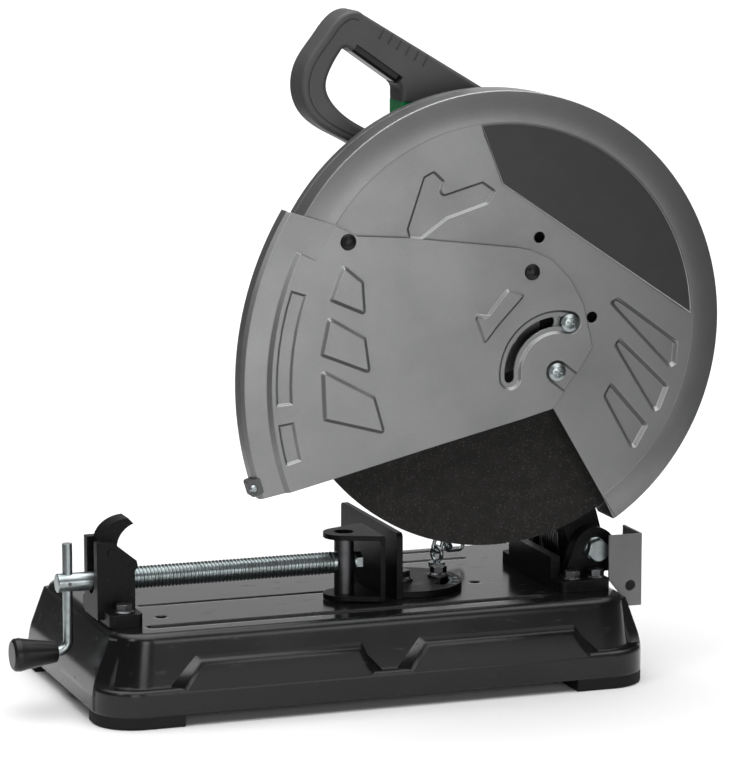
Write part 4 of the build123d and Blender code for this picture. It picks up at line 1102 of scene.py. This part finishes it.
@dataclass
class PanEnds:
    """Smooth sloping panel over each end wall of the pressed pan."""

    bench: Bench
    profile: Sequence[Pair] = ((213.0, 68.5), (218.5, 68.5), (232.6, 31.0), (232.4, 11.0),
                                              (228.0, 11.0))
    half: float = 99.0
    taper: float = 8.0
    sink: float = 11.0
    soft: float = 2.5
    bend_r: float = 9.0

    def build(self) -> None:
        """Draw the profile across each end and sink its two sides into the corners."""
        top_z, bend_z, low_z = (self.profile[i][1] / 1000 for i in (1, 2, 3))
        for side in (-1, 1):
            mesh = bmesh.new()
            loop = [mesh.verts.new(mm(side * x, -self.half, z)) for x, z in self.profile]
            across = bmesh.ops.extrude_face_region(mesh, geom=[mesh.faces.new(loop)])["geom"]
            far = [v for v in across if isinstance(v, bmesh.types.BMVert)]
            bmesh.ops.translate(mesh, verts=far, vec=(0, 2 * self.half / 1000, 0))
            mesh.normal_update()
            for flank in [f for f in mesh.faces if abs(f.normal.y) > 0.9]:
                way = math.copysign(self.taper, flank.calc_center_median().y)
                grown = bmesh.ops.extrude_discrete_faces(mesh, faces=[flank])["faces"][0]
                bmesh.ops.translate(mesh, verts=grown.verts, vec=(-side * self.sink / 1000, way / 1000, 0))
            bend = [e for e in mesh.edges if all(abs(v.co.z - bend_z) < MERGE for v in e.verts)]
            bmesh.ops.bevel(mesh, geom=bend, offset=self.bend_r / 1000, segments=8, affect="EDGES", profile=0.5)
            ridge = [e for e in mesh.edges if all(abs(abs(v.co.y) - self.half / 1000) < MERGE for v in e.verts)
                     and e.calc_length() < self.half / 1000
                     and low_z + EDGE < max(v.co.z for v in e.verts) < top_z - EDGE]
            bmesh.ops.bevel(mesh, geom=ridge, offset=self.soft / 1000, segments=4, affect="EDGES", profile=0.5)
            name = "pan_end_crank" if side < 0 else "pan_end_hinge"
            self.bench.piece(name, mesh, "base", Look.pan_black, 35.0)


@dataclass
class PanPanels:
    """Soft-edged raised panels over the pan's two long walls."""

    bench: Bench
    spans: Sequence[Span] = ((-166.0, -151.0, -21.0, -10.0),
                                                          (22.0, 35.0, 161.0, 176.0))
    low: float = 12.0
    bend: float = 28.0
    top: float = 50.6
    front: float = 127.9
    flare: float = 10.0
    top_share: float = 0.55
    bend_share: float = 0.35
    soft: float = 2.2
    skirt_z: float = 31.0
    skirt_half: float = 121.4
    wall_lean: float = 0.225

    def wall(self, z: float) -> float:
        """Find the pan's wall.

        Args:
            z: Height in millimetres.

        Returns:
            Half the pan's width there, to within its sheet.
        """
        return self.skirt_half - self.wall_lean * (max(z, self.skirt_z) - self.skirt_z)

    def foot(self, x: float, z: float, middle: float) -> Pair:
        """Find where a corner's foot lies beside the corner.

        Args:
            x: The corner's place along the pan, in millimetres.
            z: Its height.
            middle: The panel's middle along the pan.

        Returns:
            Shift along the pan and shift up.
        """
        out = math.copysign(self.flare, x - middle)
        if z > self.top - 1:
            return out * self.top_share, self.flare * self.top_share
        return out, self.flare * self.bend_share if z > self.low + 1 else 0.0

    def panel(self, side: int, span: Span) -> bmesh.types.BMesh:
        """Make one panel as a low frustum with its foot in the wall.

        Args:
            side: -1 for the wheel's side, 1 for the motor's.
            span: Low start, high start, high end and low end along the pan.

        Returns:
            Its mesh.
        """
        mesh = bmesh.new()
        a, b, c, d = span
        corners = ((a, self.low), (a, self.bend), (b, self.top), (c, self.top), (d, self.bend), (d, self.low))
        face = mesh.faces.new([mesh.verts.new(mm(x, side * self.front, z)) for x, z in corners])
        grown = bmesh.ops.extrude_edge_only(mesh, edges=list(face.edges))["geom"]
        for vert in [v for v in grown if isinstance(v, bmesh.types.BMVert)]:
            x, z = vert.co.x * 1000 + MIDDLE_X, vert.co.z * 1000
            lean, rise = self.foot(x, z, (a + d) / 2)
            deep = side * (self.wall(z + rise) - self.front)
            bmesh.ops.translate(mesh, verts=[vert], vec=Vector((lean, deep, rise)) / 1000)
        edge_highlight = [e for e in face.edges if max(v.co.z for v in e.verts) * 1000 > self.low + 1]
        bmesh.ops.bevel(mesh, geom=edge_highlight, offset=self.soft / 1000, segments=4, affect="EDGES", profile=0.5)
        bmesh.ops.holes_fill(mesh, edges=[e for e in mesh.edges if e.is_boundary], sides=0)
        return mesh

    def build(self) -> None:
        """Make the panels of both walls."""
        whole = bmesh.new()
        for side in (-1, 1):
            for span in self.spans:
                self.bench.join(whole, self.panel(side, span), Matrix.Identity(4))
        self.bench.piece("pan_panels", whole, "base", Look.pan_black, 40.0)


@dataclass
class ViseScrew:
    """Threaded screw of the vise, with its plain ends."""

    bench: Bench
    y: float = -45.0
    z: float = 103.3
    crest: float = 9.0
    root: float = 7.7
    pitch: float = 3.0
    start: float = -210.4
    end: float = -14.4
    head: float = -246.0
    plain: float = 7.5
    collar: float = -212.0
    tail: float = -13.2
    pin: float = 4.0
    pin_end: float = 1.1
    side_count: int = 20

    def build(self) -> None:
        """Make the screw and put it in place of its plain solid."""
        mesh = bmesh.new()
        turns = int((self.end - self.start) / self.pitch)
        profile = ((0.0, self.root), (0.30, self.crest), (0.48, self.crest), (0.78, self.root), (1.0, self.root))
        points = [mesh.verts.new(((self.start + a * self.pitch) / 1000, 0.0, r / 1000)) for a, r in profile]
        edges = [mesh.edges.new(pair) for pair in zip(points, points[1:])]
        bmesh.ops.spin(mesh, geom=points + edges, cent=(0, 0, 0), axis=(1, 0, 0),
                       dvec=(self.pitch / 1000 / self.side_count, 0, 0), angle=2 * math.pi * (turns - 1),
                       steps=self.side_count * (turns - 1))
        bmesh.ops.remove_doubles(mesh, verts=mesh.verts, dist=MERGE)
        under, blunt = self.root - 0.05, self.crest - 0.4
        self.bench.turn(mesh, ((self.head, 0.0), (self.head, self.plain - 0.6), (self.head + 0.6, self.plain),
                               (self.collar, self.plain), (self.collar, self.crest - 0.3),
                               (self.collar + 0.3, self.crest), (self.start + 1.2, self.crest),
                               (self.start + 2.4, under)))
        self.bench.turn(mesh, ((self.end - 3.0, under), (self.end - 2.2, blunt), (self.tail - 1.0, blunt),
                               (self.tail, blunt - 1.0), (self.tail, self.pin), (self.pin_end, self.pin),
                               (self.pin_end, 0.0)))
        bmesh.ops.translate(mesh, verts=mesh.verts, vec=mm(0, self.y, self.z))
        self.bench.piece("vise_screw_threaded", mesh, "screw", Look.zinc, 30.0, ("vise_screw",))


@dataclass(frozen=True)
class SoftBox:
    """Rectangular studio light, in metres and watts."""

    name: str
    place: Triple
    aim: Triple
    wide: float
    high: float
    power: float

    def build(self) -> None:
        """Hang the light."""
        lamp = bpy.data.lights.new(self.name, "AREA")
        lamp.shape = "RECTANGLE"
        lamp.size = self.wide
        lamp.size_y = self.high
        lamp.energy = self.power
        made = bpy.data.objects.new(self.name, lamp)
        made.location = self.place
        made.rotation_mode = "QUATERNION"
        made.rotation_quaternion = (Vector(self.aim) - Vector(self.place)).to_track_quat("-Z", "Y")
        bpy.context.scene.collection.objects.link(made)


@dataclass
class Studio:
    """Pale floor, soft boxes and the camera at the photograph's angle."""

    azimuth: float = -19.56
    elevation: float = 9.63
    distance: float = 3.2322
    target: Triple = (34.5, 0.0, 243.2)
    lens: float = 187.72
    sensor: float = 36.0
    view_end: float = 100.0
    side_sky: float = 0.08
    back_sky: float = 1.20
    high_sky: float = 3.6
    high_from: Pair = (0.60, 0.98)
    wall_edge: Pair = (0.86, 0.97)
    wall_top: Pair = (0.15, 0.45)
    floor_radius: float = 0.62
    paper: tuple[RGB, RGB] = ((0.80, 0.80, 0.80), (0.78, 0.78, 0.78))
    paper_grain: float = 1.5
    paper_rough: float = 0.85
    boxes: Sequence[SoftBox] = (
        SoftBox("front_box", (0.28, -1.3, 0.30), (0.02, -0.11, 0.30), 0.52, 0.5, 2.65),
        SoftBox("left_strip", (-0.42, -1.3, 0.26), (-0.15, -0.10, 0.30), 0.40, 0.5, 3.0),
        SoftBox("left_box", (-1.6, -1.05, 1.18), (0.03, -0.05, 0.26), 0.42, 0.6, 5.0))

    def back(self) -> Vector:
        """Find the camera's side.

        Returns:
            Direction from the target to the camera.
        """
        a, e = math.radians(self.azimuth), math.radians(self.elevation)
        return Vector((math.sin(a) * math.cos(e), -math.cos(a) * math.cos(e), math.sin(e)))

    def build(self) -> None:
        """Make the floor, the sky, the lights and the camera."""
        self.floor()
        self.sky()
        bpy.context.scene.view_settings.view_transform = "Standard"
        for box in self.boxes:
            box.build()
        data = bpy.data.cameras.new("photo_view")
        data.lens = self.lens
        data.sensor_width = self.sensor
        data.clip_end = self.view_end
        camera = bpy.data.objects.new("photo_view", data)
        camera.location = mm(*self.target) + self.back() * self.distance
        camera.rotation_mode = "QUATERNION"
        camera.rotation_quaternion = (-self.back()).to_track_quat("-Z", "Y")
        bpy.context.scene.collection.objects.link(camera)
        bpy.context.scene.camera = camera

    def sky(self) -> None:
        """Studio surroundings: bright above and on the wall behind, dim at the sides."""
        g = Graph(bpy.data.worlds.new("studio_sky"), "Background", "Generated")
        high = g.axis("Z").band(*self.high_from)
        wall = g.toward(-self.back()).band(*self.wall_edge) * (1 - g.axis("Z").band(*self.wall_top))
        level = wall * (self.back_sky - self.side_sky) + self.side_sky
        g.surface(Color=(1.0, 1.0, 1.0), Strength=level * (1 - high) + high * self.high_sky)
        bpy.context.scene.world = g.owner

    def floor(self) -> None:
        """Round pale floor."""
        mesh = bmesh.new()
        bmesh.ops.create_circle(mesh, cap_ends=True, segments=96, radius=self.floor_radius)
        data = bpy.data.meshes.new("studio_floor")
        mesh.to_mesh(data)
        mesh.free()
        made = bpy.data.objects.new("studio_floor", data)
        bpy.context.scene.collection.objects.link(made)
        g = Graph.named("studio_paper")
        colour = g.mix(g.noise(self.paper_grain, 2.0), *self.paper)
        data.materials.append(g.surface(Base_Color=colour, Roughness=self.paper_rough))


def main() -> None:
    """Build the looks in order."""
    logging.basicConfig(level=logging.INFO, format="%(name)s %(message)s")
    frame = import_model()
    bench = Bench(Paintbox())
    for row in frame["record"]["subparts"]:
        node = frame["nodes"][row["node"]]
        bench.paint.dress(node, SPECIAL.get(row["node"]) or Look[row["material_slot"]])
        node.data.shade_smooth()
    for maker in (ViseScrew, Fasteners, ReturnSpring, FenceScale, Label, GuardBand, PanEnds, PanPanels):
        maker(bench).build()
    Studio().build()


if __name__ == "__main__":
    main()
